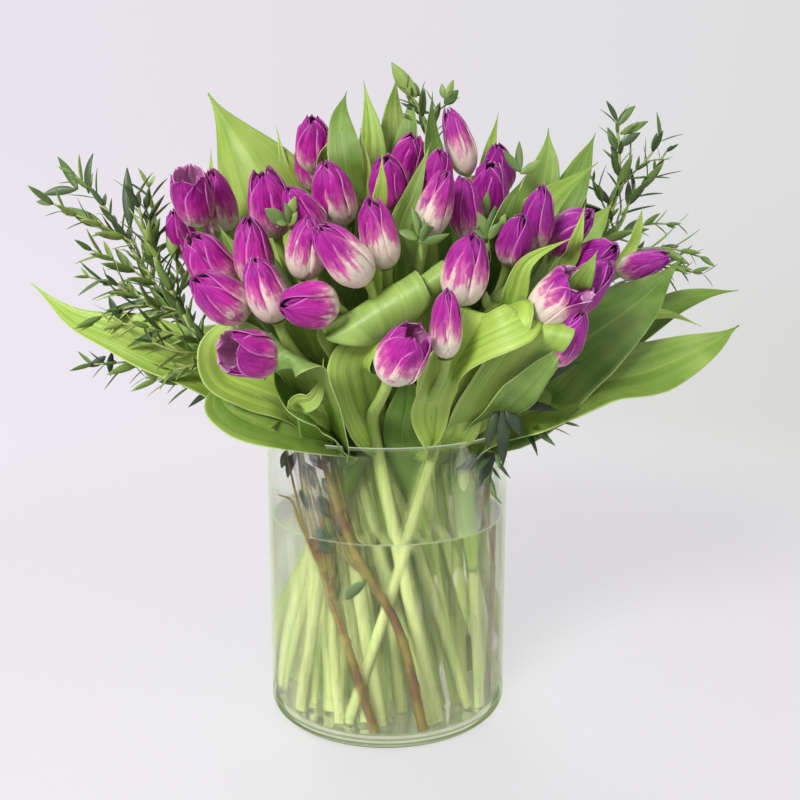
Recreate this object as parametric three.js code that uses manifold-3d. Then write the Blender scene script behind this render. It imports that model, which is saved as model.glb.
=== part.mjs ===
// A bouquet of purple tulips with their leaves and some eucalyptus sprays, standing in water in a
// clear cylinder vase. Millimetres, +Z up. The origin is the centre of the vase's flat underside,
// -Y is the front of the bouquet and +X its right.

import * as THREE from "three";
import { ConvexGeometry } from "three/addons/geometries/ConvexGeometry.js";
import { mergeVertices } from "three/addons/utils/BufferGeometryUtils.js";
import Module from "manifold-3d";

// ---------------------------------------------------------------- driving dimensions

const GAP = 0.3;                 // clearance kept between neighbouring pieces
const SMALLEST_FACET = 0.12;     // finer facets than this are merged after a join

const VASE_RADIUS = 100;
const VASE_HEIGHT = 240;
const GLASS_WALL = 3.2;
const GLASS_BASE = 9;
const HEEL_RADIUS = 7;           // rounding of the foot outside
const INNER_HEEL_RADIUS = 5;
const RIM_RADIUS = 1.2;
const VASE_SIDES = 32;

const WATER_LEVEL = 164;

const STEM_RADIUS = 4.3;
const STEM_SIDES = 4;
const STEM_UPPER_STEPS = 4;
const WAIST_HEIGHT = 238;        // the stems stand closest together here, level with the rim
const WAIST_CENTRE = [8, -4];
const WAIST_SHRINK = 0.31;       // bouquet plan to waist plan
const WAIST_SPACING = 16.5;
const BUNCH_PULL = 0.32;         // stems of one bunch close up at the waist until they touch
const FOOT_SPREAD = 1.28;        // waist plan to foot plan
const FOOT_TURN = 26;            // degrees that the bouquet spirals between waist and foot
const FOOT_LIMIT = 79;           // the tulips' feet stay inside the woody stems
const STEM_HANDLE = 0.4;         // how stiffly a stem keeps its direction, as a share of its rise

const LEAF_THICKNESS = 1.0;
const LEAF_STEPS = 4;

const PETAL_COLUMNS = [0, 48, 100];          // degrees across one outer petal
const PETAL_RELIEF = [1.08, 1.03, 0.9];      // each outer petal overlaps the next one
const PETAL_TIP = [0.84, 1.0, 0.88];         // outline of its top edge
const INNER_PETAL_TIP = [0.97, 0.76, 0.92];  // the inner petals' tips stand between
const BUD_PROFILE = [[0.12, 0.66], [0.5, 1.02]];   // height and girth along the bud

const EUCALYPTUS_LEAF = [27, 6, 1.3];                // length, width, thickness at the rib
const TWIG_SIDES = 4;
const TWIG_RADIUS = 2.6;
const SIDE_TWIG_SHARE = 0.55;                        // girth of a side branch to its stem's
const LEAF_TILT = 42;                                // degrees between a leaf and its twig

// ---------------------------------------------------------------- finishes

function finish(colour, roughness) {
  return new THREE.MeshStandardMaterial({ color: colour, roughness, metalness: 0 });
}

const glass = finish(0xdfe8dc, 0.05);
glass.transparent = true;
glass.opacity = 0.3;
const water = finish(0xe4ece0, 0.05);
water.transparent = true;
water.opacity = 0.4;
const petal = finish(0xa6309b, 0.5);
const foliage = finish(0x7aa548, 0.5);
const eucalyptus = finish(0x4f6b46, 0.6);

// ---------------------------------------------------------------- solids

const wasm = await Module();
wasm.setup();

function solid(geometry) {
  const bare = geometry.clone();
  bare.deleteAttribute("normal");
  bare.deleteAttribute("uv");
  const merged = mergeVertices(bare, 1e-3);
  const mesh = new wasm.Mesh({
    numProp: 3,
    vertProperties: new Float32Array(merged.attributes.position.array),
    triVerts: new Uint32Array(merged.index.array),
  });
  return new wasm.Manifold(mesh);
}

function geometryOf(body) {
  const mesh = body.getMesh();
  const geometry = new THREE.BufferGeometry();
  geometry.setAttribute("position", new THREE.BufferAttribute(mesh.vertProperties, 3));
  geometry.setIndex(new THREE.BufferAttribute(mesh.triVerts, 1));
  geometry.computeVertexNormals();
  return geometry;
}

// A joined body without its loose scraps and sealed bubbles, and without needless small facets.
function largestBody(body) {
  const pieces = solid(geometryOf(body.simplify(SMALLEST_FACET))).decompose();
  return pieces.reduce((best, piece) => (piece.volume() > best.volume() ? piece : best));
}

function joined(bodies) {
  return bodies.reduce((sum, body) => sum.add(body));
}

function boxesMeet(a, b) {
  const p = a.boundingBox();
  const q = b.boundingBox();
  return [0, 1, 2].every((k) => p.min[k] < q.max[k] && q.min[k] < p.max[k]);
}

function clearedOf(body, obstacles) {
  let rest = body;
  for (const obstacle of obstacles) {
    if (boxesMeet(rest, obstacle)) {
      rest = rest.subtract(obstacle);
    }
  }
  return rest;
}

function vector(point) {
  return new THREE.Vector3(...point);
}

// ---------------------------------------------------------------- vase and water

function vaseGeometry() {
  const inner = VASE_RADIUS - GLASS_WALL;
  const outline = new THREE.Path();
  outline.moveTo(0, 0);
  outline.lineTo(VASE_RADIUS - HEEL_RADIUS, 0);
  outline.absarc(VASE_RADIUS - HEEL_RADIUS, HEEL_RADIUS, HEEL_RADIUS, -Math.PI / 2, 0, false);
  outline.lineTo(VASE_RADIUS, VASE_HEIGHT - RIM_RADIUS);
  outline.lineTo(VASE_RADIUS - RIM_RADIUS, VASE_HEIGHT);
  outline.lineTo(inner + RIM_RADIUS, VASE_HEIGHT);
  outline.lineTo(inner, VASE_HEIGHT - RIM_RADIUS);
  outline.lineTo(inner, GLASS_BASE + INNER_HEEL_RADIUS);
  outline.lineTo(inner - INNER_HEEL_RADIUS, GLASS_BASE);
  outline.lineTo(0, GLASS_BASE);
  return new THREE.LatheGeometry(outline.getPoints(2), VASE_SIDES).rotateX(Math.PI / 2);
}

function waterGeometry() {
  const radius = VASE_RADIUS - GLASS_WALL - GAP;
  const bottom = GLASS_BASE + GAP;
  const outline = [
    new THREE.Vector2(0, bottom),
    new THREE.Vector2(radius - INNER_HEEL_RADIUS, bottom),
    new THREE.Vector2(radius, bottom + INNER_HEEL_RADIUS),
    new THREE.Vector2(radius, WATER_LEVEL),
    new THREE.Vector2(0, WATER_LEVEL),
  ];
  return new THREE.LatheGeometry(outline, VASE_SIDES).rotateX(Math.PI / 2);
}

// ---------------------------------------------------------------- tulip blooms
// Each row: where the bloom meets its stem, the way it leans as seen from above (degrees from +X),
// its lean from upright, its length and girth, and how far it has opened (0 closed, 1 wide open).
// The bunch is the group of leafy stems that its stem belongs to. Blooms whose numbers differ only
// by a letter touch each other and make one piece.

function bloom(number, at, toward, lean, long, girth, open, bunch) {
  const name = `bloom_${number.slice(0, 2)}`;
  return { number, name, at: vector(at), toward, lean, long, girth, open, bunch };
}

const BLOOMS = [
  bloom("01", [-55, -22, 442], -90, 34, 46, 29, 0.1, "middle_left"),
  bloom("02", [-36, -36, 442], -80, 40, 46, 24, 0, "middle_left"),
  bloom("03", [-57, 16, 431], -108, 35, 46, 26, 0, "back_left"),
  bloom("04", [-33, -82, 400], -110, 32, 50, 31, 0.1, "middle_left"),
  bloom("05", [-79, -79, 393], -103, 33, 52, 31, 0.2, "middle_left"),
  bloom("06", [-48, -104, 392], -123, 46, 46, 26, 0, "front_left"),
  bloom("07", [-56, -125, 364], -74, 27, 46, 27, 0, "front_left"),
  bloom("08", [-13, -146, 363], -138, 49, 53, 29, 0.1, "front_left"),
  bloom("09", [0, -123, 371], -116, 29, 51, 29, 0.1, "front_left"),
  bloom("10", [-140, -53, 401], -95, 37, 46, 28, 0.6, "left"),
  bloom("11", [-126, -19, 397], -100, 34, 52, 27, 0.1, "left"),
  bloom("12", [-145, 7, 386], -111, 31, 47, 29, 0.1, "left"),
  bloom("13", [-156, -17, 377], -99, 41, 46, 24, 0, "left"),
  bloom("14", [-113, -93, 355], -126, 42, 50, 32, 0.2, "low_left"),
  bloom("15", [-96, -124, 339], -136, 56, 49, 31, 0.1, "low_left"),
  bloom("16", [-90, -108, 358], -96, 27, 52, 27, 0.1, "low_left"),
  bloom("17", [-73, -138, 337], -120, 32, 49, 27, 0.1, "low_left"),
  bloom("18", [-36, -143, 348], -131, 88, 46, 31, 0.2, "front_left"),
  bloom("19", [-75, -141, 312], -131, 79, 46, 31, 0.7, "low_left"),
  bloom("20", [1, -159, 300], -54, 40, 46, 32, 0.6, "front_middle"),
  bloom("21", [38, -156, 314], -90, 20, 48, 24, 0, "front_middle"),
  bloom("22", [48, -143, 348], -72, 26, 50, 30, 0.1, "front_middle"),
  bloom("23", [33, -72, 414], -81, 35, 46, 25, 0.1, "middle"),
  bloom("24", [26, -116, 392], -64, 36, 52, 28, 0.1, "front_middle"),
  bloom("25", [57, -98, 391], -106, 28, 46, 24, 0, "middle"),
  bloom("26", [10, -10, 432], -69, 40, 46, 27, 0.1, "middle"),
  bloom("27", [63, -16, 440], -131, 20, 54, 26, 0, "back_right"),
  bloom("28", [74, -68, 408], -93, 41, 46, 27, 0.2, "middle"),
  bloom("29", [90, -16, 428], -105, 46, 46, 24, 0, "right"),
  bloom("30", [103, -100, 384], -89, 31, 49, 24, 0, "low_right"),
  bloom("31", [84, -113, 375], -82, 48, 46, 24, 0, "low_right"),
  bloom("32", [115, -79, 383], -46, 55, 46, 27, 0.1, "right"),
  bloom("33", [139, -79, 370], -66, 71, 46, 25, 0.1, "right"),
  bloom("34", [100, -135, 337], -61, 37, 46, 30, 0.9, "low_right"),
  bloom("35", [121, -117, 341], -47, 48, 52, 27, 0.1, "low_right"),
  bloom("36", [182, -25, 365], -45, 74, 46, 22, 0, "right"),
  bloom("37", [113, -136, 307], -62, 38, 46, 22, 0, "low_right"),
  bloom("38", [2, -76, 413], -94, 45, 46, 28, 0.1, "middle"),
  bloom("39a", [-100, 66, 384], 140, 42, 49, 29, 0.1, "back_left"),
  bloom("39b", [-82, 82, 388], 130, 42, 47, 28, 0, "back_left"),
  bloom("40a", [-36, 92, 392], 100, 38, 50, 30, 0.2, "back_left"),
  bloom("40b", [-12, 98, 391], 92, 40, 48, 28, 0, "back_left"),
  bloom("40c", [-25, 110, 374], 96, 58, 48, 29, 0.1, "back_left"),
  bloom("41a", [36, 94, 390], 80, 40, 50, 29, 0.1, "back_right"),
  bloom("41b", [60, 89, 388], 72, 42, 48, 28, 0.1, "back_right"),
  bloom("41c", [47, 109, 372], 76, 60, 48, 29, 0, "back_right"),
  bloom("42a", [104, 68, 384], 42, 44, 49, 29, 0.1, "back_right"),
  bloom("42b", [120, 50, 379], 36, 47, 48, 28, 0, "back_right"),
  bloom("43a", [-6, 44, 422], 92, 18, 48, 28, 0, "back_left"),
  bloom("43b", [14, 50, 418], 85, 20, 47, 28, 0.1, "back_right"),
];

function leanDirection(row) {
  const toward = THREE.MathUtils.degToRad(row.toward);
  const lean = THREE.MathUtils.degToRad(row.lean);
  return new THREE.Vector3(
    Math.sin(lean) * Math.cos(toward),
    Math.sin(lean) * Math.sin(toward),
    Math.cos(lean),
  );
}

// A bud is a lathe of three overlapping outer petals and three inner ones, raised by formula:
// the columns of each third step outward at a petal's free edge, and the top edges come to tips.
function bloomGeometry(row, margin = 0) {
  const radius = row.girth / 2 + margin;
  const long = row.long + 2 * margin;
  const mouth = 0.5 + 0.55 * row.open;
  const crest = mouth * 0.62;
  const heart = 0.68 - 0.3 * row.open;
  const rings = [[0, 0], ...BUD_PROFILE, [1, mouth], [1, crest], [heart, 0]];
  const rim = rings.length - 3;
  const columns = PETAL_COLUMNS.length * 3;
  const profile = rings.map(([height, girth]) => new THREE.Vector2(girth * radius, height * long));
  const geometry = new THREE.LatheGeometry(profile, columns);
  const place = geometry.attributes.position;
  for (let column = 0; column <= columns; column += 1) {
    const part = column % PETAL_COLUMNS.length;
    const third = Math.floor((column % columns) / PETAL_COLUMNS.length);
    const angle = THREE.MathUtils.degToRad(PETAL_COLUMNS[part] + 120 * third);
    for (let ring = 0; ring < rings.length; ring += 1) {
      const [height, girth] = rings[ring];
      let tip = 1;
      if (ring === rim) {
        tip = PETAL_TIP[part];
      }
      if (ring === rim + 1) {
        tip = INNER_PETAL_TIP[part];
      }
      const relief = ring > 0 && ring <= rim ? PETAL_RELIEF[part] : 1;
      const reach = girth * radius * relief;
      const index = column * rings.length + ring;
      place.setXYZ(index, reach * Math.cos(angle), reach * Math.sin(angle), height * tip * long);
    }
  }
  return geometry;
}

function bloomPlace(row, margin = 0) {
  const axis = leanDirection(row);
  const turn = new THREE.Quaternion().setFromUnitVectors(new THREE.Vector3(0, 0, 1), axis);
  const at = row.at.clone().addScaledVector(axis, -margin);
  return new THREE.Matrix4().compose(at, turn, new THREE.Vector3(1, 1, 1));
}

// ---------------------------------------------------------------- stems

const SPACING_ROUNDS = 60;

// The stems keep the order of their blooms: the bouquet's plan shrinks towards the waist, is
// loosened until no two bunches touch, and opens again, turned a little, towards the feet.
function waistPlan() {
  const plan = BLOOMS.map((row) => new THREE.Vector2(row.at.x, row.at.y).multiplyScalar(WAIST_SHRINK));
  for (let round = 0; round < SPACING_ROUNDS; round += 1) {
    for (let i = 0; i < plan.length; i += 1) {
      for (let j = i + 1; j < plan.length; j += 1) {
        const apart = plan[j].clone().sub(plan[i]);
        const short = WAIST_SPACING - apart.length();
        if (short > 0) {
          apart.setLength(short / 2);
          plan[j].add(apart);
          plan[i].sub(apart);
        }
      }
    }
  }
  const middle = plan.reduce((sum, spot) => sum.add(spot), new THREE.Vector2());
  middle.divideScalar(plan.length);
  plan.forEach((spot) => spot.sub(middle));
  return plan;
}

const OPEN_PLAN = waistPlan();

function bunchCentre(bunch) {
  const centre = new THREE.Vector2();
  let count = 0;
  BLOOMS.forEach((row, i) => {
    if (row.bunch === bunch) {
      centre.add(OPEN_PLAN[i]);
      count += 1;
    }
  });
  return centre.divideScalar(count);
}

function stemWaist(index) {
  const row = BLOOMS[index];
  const spot = OPEN_PLAN[index].clone().lerp(bunchCentre(row.bunch), 1 - BUNCH_PULL);
  return new THREE.Vector3(spot.x + WAIST_CENTRE[0], spot.y + WAIST_CENTRE[1], WAIST_HEIGHT);
}

// A slanting stem stands on the lower edge of its cut foot.
function stemFoot(index) {
  const turned = OPEN_PLAN[index].clone().multiplyScalar(FOOT_SPREAD);
  turned.rotateAround(new THREE.Vector2(), THREE.MathUtils.degToRad(FOOT_TURN));
  turned.clampLength(0, FOOT_LIMIT);
  const foot = new THREE.Vector3(turned.x, turned.y, GLASS_BASE + GAP);
  const rise = stemWaist(index).sub(foot).normalize();
  foot.z += STEM_RADIUS * Math.hypot(rise.x, rise.y);
  return foot;
}

class StemCurve extends THREE.Curve {
  constructor(index) {
    super();
    const row = BLOOMS[index];
    const axis = leanDirection(row);
    this.foot = stemFoot(index);
    this.waist = stemWaist(index);
    const top = row.at.clone().addScaledVector(axis, -GAP);
    const rise = top.distanceTo(this.waist);
    const upward = this.waist.clone().sub(this.foot).normalize();
    const leave = this.waist.clone().addScaledVector(upward, rise * STEM_HANDLE);
    const arrive = top.clone().addScaledVector(axis, -rise * STEM_HANDLE);
    this.upper = new THREE.CubicBezierCurve3(this.waist, leave, arrive, top);
    this.split = 1 / (STEM_UPPER_STEPS + 1);
  }

  getUtoTmapping(u) {
    return u;
  }

  getPoint(t, target = new THREE.Vector3()) {
    if (t < this.split) {
      return target.lerpVectors(this.foot, this.waist, t / this.split);
    }
    return target.copy(this.upper.getPoint((t - this.split) / (1 - this.split)));
  }
}

function ring(radius, sides) {
  const outline = new THREE.Shape();
  for (let side = 0; side < sides; side += 1) {
    const angle = (side / sides) * 2 * Math.PI;
    const x = radius * Math.cos(angle);
    const y = radius * Math.sin(angle);
    if (side === 0) {
      outline.moveTo(x, y);
    } else {
      outline.lineTo(x, y);
    }
  }
  outline.closePath();
  return outline;
}

function tube(curve, radius, sides, steps) {
  return new THREE.ExtrudeGeometry(ring(radius, sides), { steps, extrudePath: curve });
}

const HOLE_OVERRUN = 3;
const STEM_CURVES = BLOOMS.map((row, index) => new StemCurve(index));

function stemGeometry(index, margin = 0) {
  return tube(STEM_CURVES[index], STEM_RADIUS + margin, STEM_SIDES, STEM_UPPER_STEPS + 1);
}

// The straight hole that a stem stands in, in the water.
function holeGeometry(from, to) {
  const around = STEM_RADIUS * Math.SQRT2 + GAP;
  const along = to.clone().sub(from);
  const long = along.length() + 2 * HOLE_OVERRUN;
  const geometry = new THREE.CylinderGeometry(around, around, long, STEM_SIDES);
  geometry.rotateX(Math.PI / 2);
  const turn = new THREE.Quaternion().setFromUnitVectors(
    new THREE.Vector3(0, 0, 1),
    along.clone().normalize(),
  );
  geometry.applyQuaternion(turn);
  const middle = from.clone().lerp(to, 0.5);
  return geometry.translate(middle.x, middle.y, middle.z);
}

// ---------------------------------------------------------------- tulip leaves
// Each row: the stem that it clasps and how high, the points that its midrib follows, its width,
// the way its upper side faces, and how deeply it is cupped.

function leaf(stem, from, via, width, face, cup = 0.25, steps = LEAF_STEPS) {
  return { stem, from, via: via.map(vector), width, face: vector(face), cup, steps };
}

const LEAVES = [
  leaf("14", 228, [[-92, -58, 262], [-135, -75, 293], [-188, -80, 319], [-229, -75, 333], [-263, -65, 358]],
    40, [0.15, -0.75, 0.65], 0.3, 5),
  leaf("11", 262, [[-79, -28, 382], [-96, -15, 417], [-113, -5, 450], [-128, 0, 481], [-140, 0, 503]],
    52, [0.3, -0.95, 0.1], 0.35, 5),
  leaf("35", 226, [[89, -70, 261], [117, -85, 275], [166, -80, 286], [222, -65, 299], [270, -50, 325]],
    44, [0, -0.8, 0.6], 0.3, 5),
  leaf("33", 232, [[92, -48, 275], [113, -60, 298], [149, -64, 328], [189, -57, 354], [223, -46, 376]],
    52, [0.2, -0.9, 0.4], 0.25, 5),
  leaf("36", 236, [[138, -10, 286], [176, -8, 316], [218, -6, 337], [287, -2, 350]],
    26, [0, -0.6, 0.8], 0.3),
  leaf("32", 246, [[150, -24, 294], [200, -24, 318], [243, -22, 321]], 16, [0, -0.6, 0.8]),
  leaf("08", 226, [[-31, -95, 296], [-34, -118, 323], [-10, -132, 339], [19, -125, 355], [35, -100, 363]],
    34, [0.1, -0.5, 0.85], 0.2, 6),
  leaf("21", 226, [[28, -95, 279], [39, -128, 314], [69, -138, 338], [93, -118, 334], [102, -90, 311]],
    46, [-0.3, -0.9, 0.35], 0.2, 6),
  leaf("31", 226, [[68, -92, 274], [91, -114, 300], [113, -112, 317], [131, -98, 332]],
    36, [0.2, -0.9, 0.35]),
  leaf("37", 226, [[84, -84, 265], [108, -98, 287], [139, -92, 312]], 34, [0.1, -0.85, 0.5]),
  leaf("09", 222, [[-18, -98, 272], [-26, -120, 299], [-6, -132, 323], [25, -125, 341]],
    38, [0.3, -0.9, 0.3], 0.25, 5),
  leaf("07", 222, [[-66, -90, 252], [-100, -98, 263], [-124, -88, 280]], 30, [0, -0.7, 0.7]),
  leaf("17", 226, [[-47, -105, 278], [-62, -118, 303], [-88, -112, 312]], 42, [0.2, -0.9, 0.4]),
  leaf("15", 226, [[-79, -85, 272], [-110, -92, 295], [-128, -84, 318], [-118, -70, 334]],
    36, [0.3, -0.85, 0.45]),
  leaf("02", 300, [[-27, -25, 416], [-32, -18, 458], [-31, -10, 503]], 26, [0.5, -0.85, 0]),
  leaf("04", 300, [[-23, -50, 423], [-19, -45, 472]], 16, [0.7, -0.7, 0]),
  leaf("38", 290, [[-10, -24, 432], [-12, -12, 475], [-18, 0, 513]], 22, [0.2, -0.95, 0]),
  leaf("26", 300, [[5, 12, 453], [5, 12, 491], [8, 15, 519]], 22, [0.4, -0.9, 0]),
  leaf("23", 300, [[14, 2, 445], [18, 5, 480], [20, 8, 506]], 22, [-0.5, -0.85, 0]),
  leaf("27", 300, [[38, -44, 428], [33, -46, 466], [34, -44, 498]], 22, [0.7, -0.7, 0]),
  leaf("38", 260, [[6, -92, 386], [19, -98, 424], [31, -92, 457]], 18, [0.2, -0.95, 0.1]),
  leaf("09", 270, [[-8, -118, 400], [-4, -125, 424], [-3, -125, 446]], 13, [0.5, -0.85, 0]),
  leaf("29", 290, [[79, 2, 441], [89, 4, 490]], 15, [0.3, -0.95, 0]),
  leaf("28", 290, [[108, -35, 409], [122, -28, 444], [125, -20, 475]], 32, [0.2, -0.95, 0]),
  leaf("32", 280, [[133, -20, 405], [152, -12, 445], [165, -5, 473]], 26, [0.1, -0.95, 0.1]),
  leaf("30", 280, [[99, -60, 391], [120, -58, 418], [158, -48, 447]], 22, [0.2, -0.8, 0.5]),
  leaf("25", 280, [[80, -85, 383], [90, -90, 414], [97, -86, 433]], 18, [0.5, -0.85, 0]),
  leaf("22", 240, [[77, -120, 325], [84, -138, 352], [92, -144, 375], [124, -138, 392]],
    19, [0.2, -0.95, 0.2]),
  leaf("33", 290, [[141, -40, 373], [161, -40, 403], [173, -36, 418]], 20, [0.2, -0.9, 0.3]),
  leaf("35", 270, [[112, -84, 340], [136, -88, 366], [150, -92, 386]], 14, [0.2, -0.9, 0.3]),
  leaf("36", 300, [[192, -14, 380], [199, -16, 400], [201, -18, 416]], 10, [0.3, -0.9, 0.2], 0.25, 4),
  leaf("12", 300, [[-135, -12, 417], [-138, -8, 462]], 9, [0.3, -0.9, 0.2], 0.25, 4),
  leaf("03", 300, [[-78, 8, 433], [-89, 12, 481]], 10, [0.3, -0.9, 0.2], 0.25, 4),
  leaf("16", 260, [[-105, -80, 353], [-112, -70, 379], [-124, -64, 401]], 20, [0.3, -0.9, 0.3]),
  leaf("24", 250, [[39, -105, 323], [28, -100, 364], [10, -98, 396]], 28, [-0.3, -0.9, 0.2]),
  leaf("39a", 226, [[-80, 60, 262], [-130, 84, 292], [-178, 92, 300], [-214, 84, 282]],
    42, [-0.1, 0.75, 0.65], 0.3, 5),
  leaf("40c", 226, [[-40, 78, 262], [-62, 118, 300], [-78, 150, 322], [-92, 168, 312]],
    44, [-0.2, 0.7, 0.65], 0.3, 5),
  leaf("41c", 226, [[34, 84, 264], [48, 126, 302], [58, 160, 330], [74, 178, 336]],
    42, [0.2, 0.8, 0.5], 0.3, 5),
  leaf("42a", 226, [[88, 58, 262], [134, 86, 300], [172, 104, 334], [196, 112, 366]],
    40, [0.3, 0.8, 0.5], 0.3, 5),
  leaf("40a", 270, [[-64, 96, 372], [-70, 112, 420], [-64, 112, 462]], 34, [-0.1, 0.95, 0.2]),
  leaf("43a", 290, [[8, 70, 410], [12, 78, 452], [6, 76, 486]], 30, [0.1, 0.95, 0.1]),
  leaf("41b", 270, [[86, 86, 372], [93, 96, 416], [88, 98, 456]], 32, [0.2, 0.95, 0.1]),
  leaf("42b", 270, [[138, 28, 366], [158, 26, 402], [166, 22, 434]], 26, [0.6, 0.75, 0.2]),
  leaf("43b", 260, [[34, 66, 352], [58, 72, 410], [52, 70, 462]], 28, [0.2, 0.95, 0.1]),
  leaf("40b", 240, [[8, 104, 300], [14, 134, 346], [16, 148, 384]], 34, [0, 0.95, 0.3]),
  leaf("39b", 240, [[-86, 92, 300], [-118, 112, 340], [-140, 118, 372]], 32, [-0.5, 0.8, 0.3]),
  leaf("39a", 270, [[-118, 44, 366], [-140, 44, 404], [-150, 38, 436]], 26, [-0.7, 0.7, 0.2]),
];

// Width along the leaf: a narrow clasping foot, broadest a third of the way up, a drawn-out tip.
function leafWidth(t) {
  const swell = Math.sin(Math.PI * t ** 0.72) ** 0.85;
  return 0.14 * (1 - t) ** 2 + 0.03 + 0.95 * Math.max(0, swell);
}

function leafGeometry(row, margin = 0) {
  const index = BLOOMS.findIndex((flower) => flower.number === row.stem);
  const stem = STEM_CURVES[index];
  const root = stemPointAt(stem, row.from);
  const rib = new THREE.CatmullRomCurve3([root, ...row.via], false, "centripetal");
  const steps = row.steps;
  const half = (LEAF_THICKNESS / 2) + margin;
  const places = [];
  for (let step = 0; step <= steps; step += 1) {
    const t = step / steps;
    const centre = rib.getPoint(t);
    const along = rib.getTangent(t);
    const side = along.clone().cross(row.face).normalize();
    const up = side.clone().cross(along).normalize();
    const reach = (row.width / 2) * leafWidth(t) + margin;
    for (const across of [-1, 0, 1]) {
      const lift = row.cup * reach * Math.abs(across) * (1 - 0.5 * t);
      const spot = centre.clone().addScaledVector(side, across * reach).addScaledVector(up, lift);
      places.push(spot.clone().addScaledVector(up, half), spot.clone().addScaledVector(up, -half));
    }
  }
  const at = (step, across, under) => (step * 3 + across) * 2 + under;
  const faces = [];
  const quad = (a, b, c, d) => faces.push(a, b, c, a, c, d);
  for (let step = 0; step < steps; step += 1) {
    for (let across = 0; across < 2; across += 1) {
      const on = across + 1;
      quad(at(step, across, 0), at(step, on, 0), at(step + 1, on, 0), at(step + 1, across, 0));
      quad(at(step, across, 1), at(step + 1, across, 1), at(step + 1, on, 1), at(step, on, 1));
    }
    quad(at(step, 0, 0), at(step + 1, 0, 0), at(step + 1, 0, 1), at(step, 0, 1));
    quad(at(step, 2, 1), at(step + 1, 2, 1), at(step + 1, 2, 0), at(step, 2, 0));
  }
  for (let across = 0; across < 2; across += 1) {
    const on = across + 1;
    quad(at(0, across, 1), at(0, on, 1), at(0, on, 0), at(0, across, 0));
    quad(at(steps, across, 0), at(steps, on, 0), at(steps, on, 1), at(steps, across, 1));
  }
  const geometry = new THREE.BufferGeometry().setFromPoints(places);
  geometry.setIndex(faces);
  return geometry;
}

function stemPointAt(stem, height) {
  let low = 0;
  let high = 1;
  for (let round = 0; round < 30; round += 1) {
    const middle = (low + high) / 2;
    if (stem.getPoint(middle).z < height) {
      low = middle;
    } else {
      high = middle;
    }
  }
  return stem.getPoint(low);
}

// ---------------------------------------------------------------- eucalyptus sprays
// Each row: the points of its woody stem, the share of it that is bare, its pairs of leaves, and
// its side branches.

function branch(route, pairs) {
  return { route: route.map(vector), pairs };
}

function spray(name, route, bare, pairs, branches = []) {
  return { name: `eucalyptus_${name}`, ...branch(route, pairs), bare, branches };
}

const SPRAYS = [
  spray("left", [[-10, -84, 10.5], [-28, -82, 72], [-46, -76, 129], [-62, -66, 190], [-74, -52, 244],
    [-110, -50, 276], [-152, -48, 318], [-188, -40, 372], [-222, -26, 420], [-241, -20, 439]], 0.55, 7, [
    branch([[-164, -46, 336], [-200, -52, 356], [-223, -54, 362]], 3),
    branch([[-188, -40, 372], [-180, -30, 410], [-183, -26, 429]], 3),
  ]),
  spray("left_low", [[27, -85, 10.5], [8, -87, 95], [-28, -86, 164], [-45, -74, 213], [-53, -67, 242],
    [-84, -82, 268], [-138, -72, 316], [-166, -56, 360], [-184, -46, 402], [-188, -43, 421]], 0.58, 6, [
    branch([[-104, -78, 278], [-150, -62, 282], [-183, -61, 287]], 3),
    branch([[-150, -64, 336], [-186, -66, 348], [-206, -66, 361]], 3),
  ]),
  spray("right", [[66, 48, 10.5], [77, 43, 120], [82, 36, 200], [84, 34, 240], [118, 30, 276],
    [156, 26, 336], [178, 22, 388], [190, 20, 430], [190, 20, 464], [187, 20, 483]], 0.6, 6, [
    branch([[178, 22, 388], [214, 20, 402], [240, 18, 403]], 3),
    branch([[190, 20, 432], [212, 18, 454], [222, 16, 468]], 2),
    branch([[166, 24, 360], [216, 24, 372], [238, 22, 369]], 2),
  ]),
  spray("top", [[0, 84, 10.5], [2, 76, 120], [2, 62, 222], [6, 26, 330], [24, 12, 410], [34, 10, 464],
    [27, 5, 490], [16, 2, 507]], 0.76, 4, [
    branch([[34, 10, 464], [37, 8, 478], [40, 7, 490]], 2),
  ]),
  spray("low_right", [[74, -30, 10.5], [79, -30, 120], [80, -34, 200], [80, -37, 238], [88, -54, 256],
    [102, -80, 254], [118, -98, 254], [128, -103, 259]], 0.68, 5),
];

// A leaflet is a narrow blade, flat above and keeled below.
function eucalyptusLeaf(at, along, across, margin = 0) {
  const [long, width, thick] = EUCALYPTUS_LEAF;
  const up = across.clone().cross(along).normalize();
  const middle = at.clone().addScaledVector(along, long * 0.45).addScaledVector(up, margin);
  const reach = width / 2 + 2 * margin;
  const places = [
    at.clone().addScaledVector(along, -1),
    middle.clone().addScaledVector(across, reach),
    middle.clone().addScaledVector(across, -reach),
    middle.clone().addScaledVector(up, -thick - 2 * margin),
    at.clone().addScaledVector(along, long + 2 * margin),
  ];
  const geometry = new THREE.BufferGeometry().setFromPoints(places);
  geometry.setIndex([0, 1, 2, 4, 2, 1, 0, 2, 3, 0, 3, 1, 4, 3, 2, 4, 1, 3]);
  return geometry;
}

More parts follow.
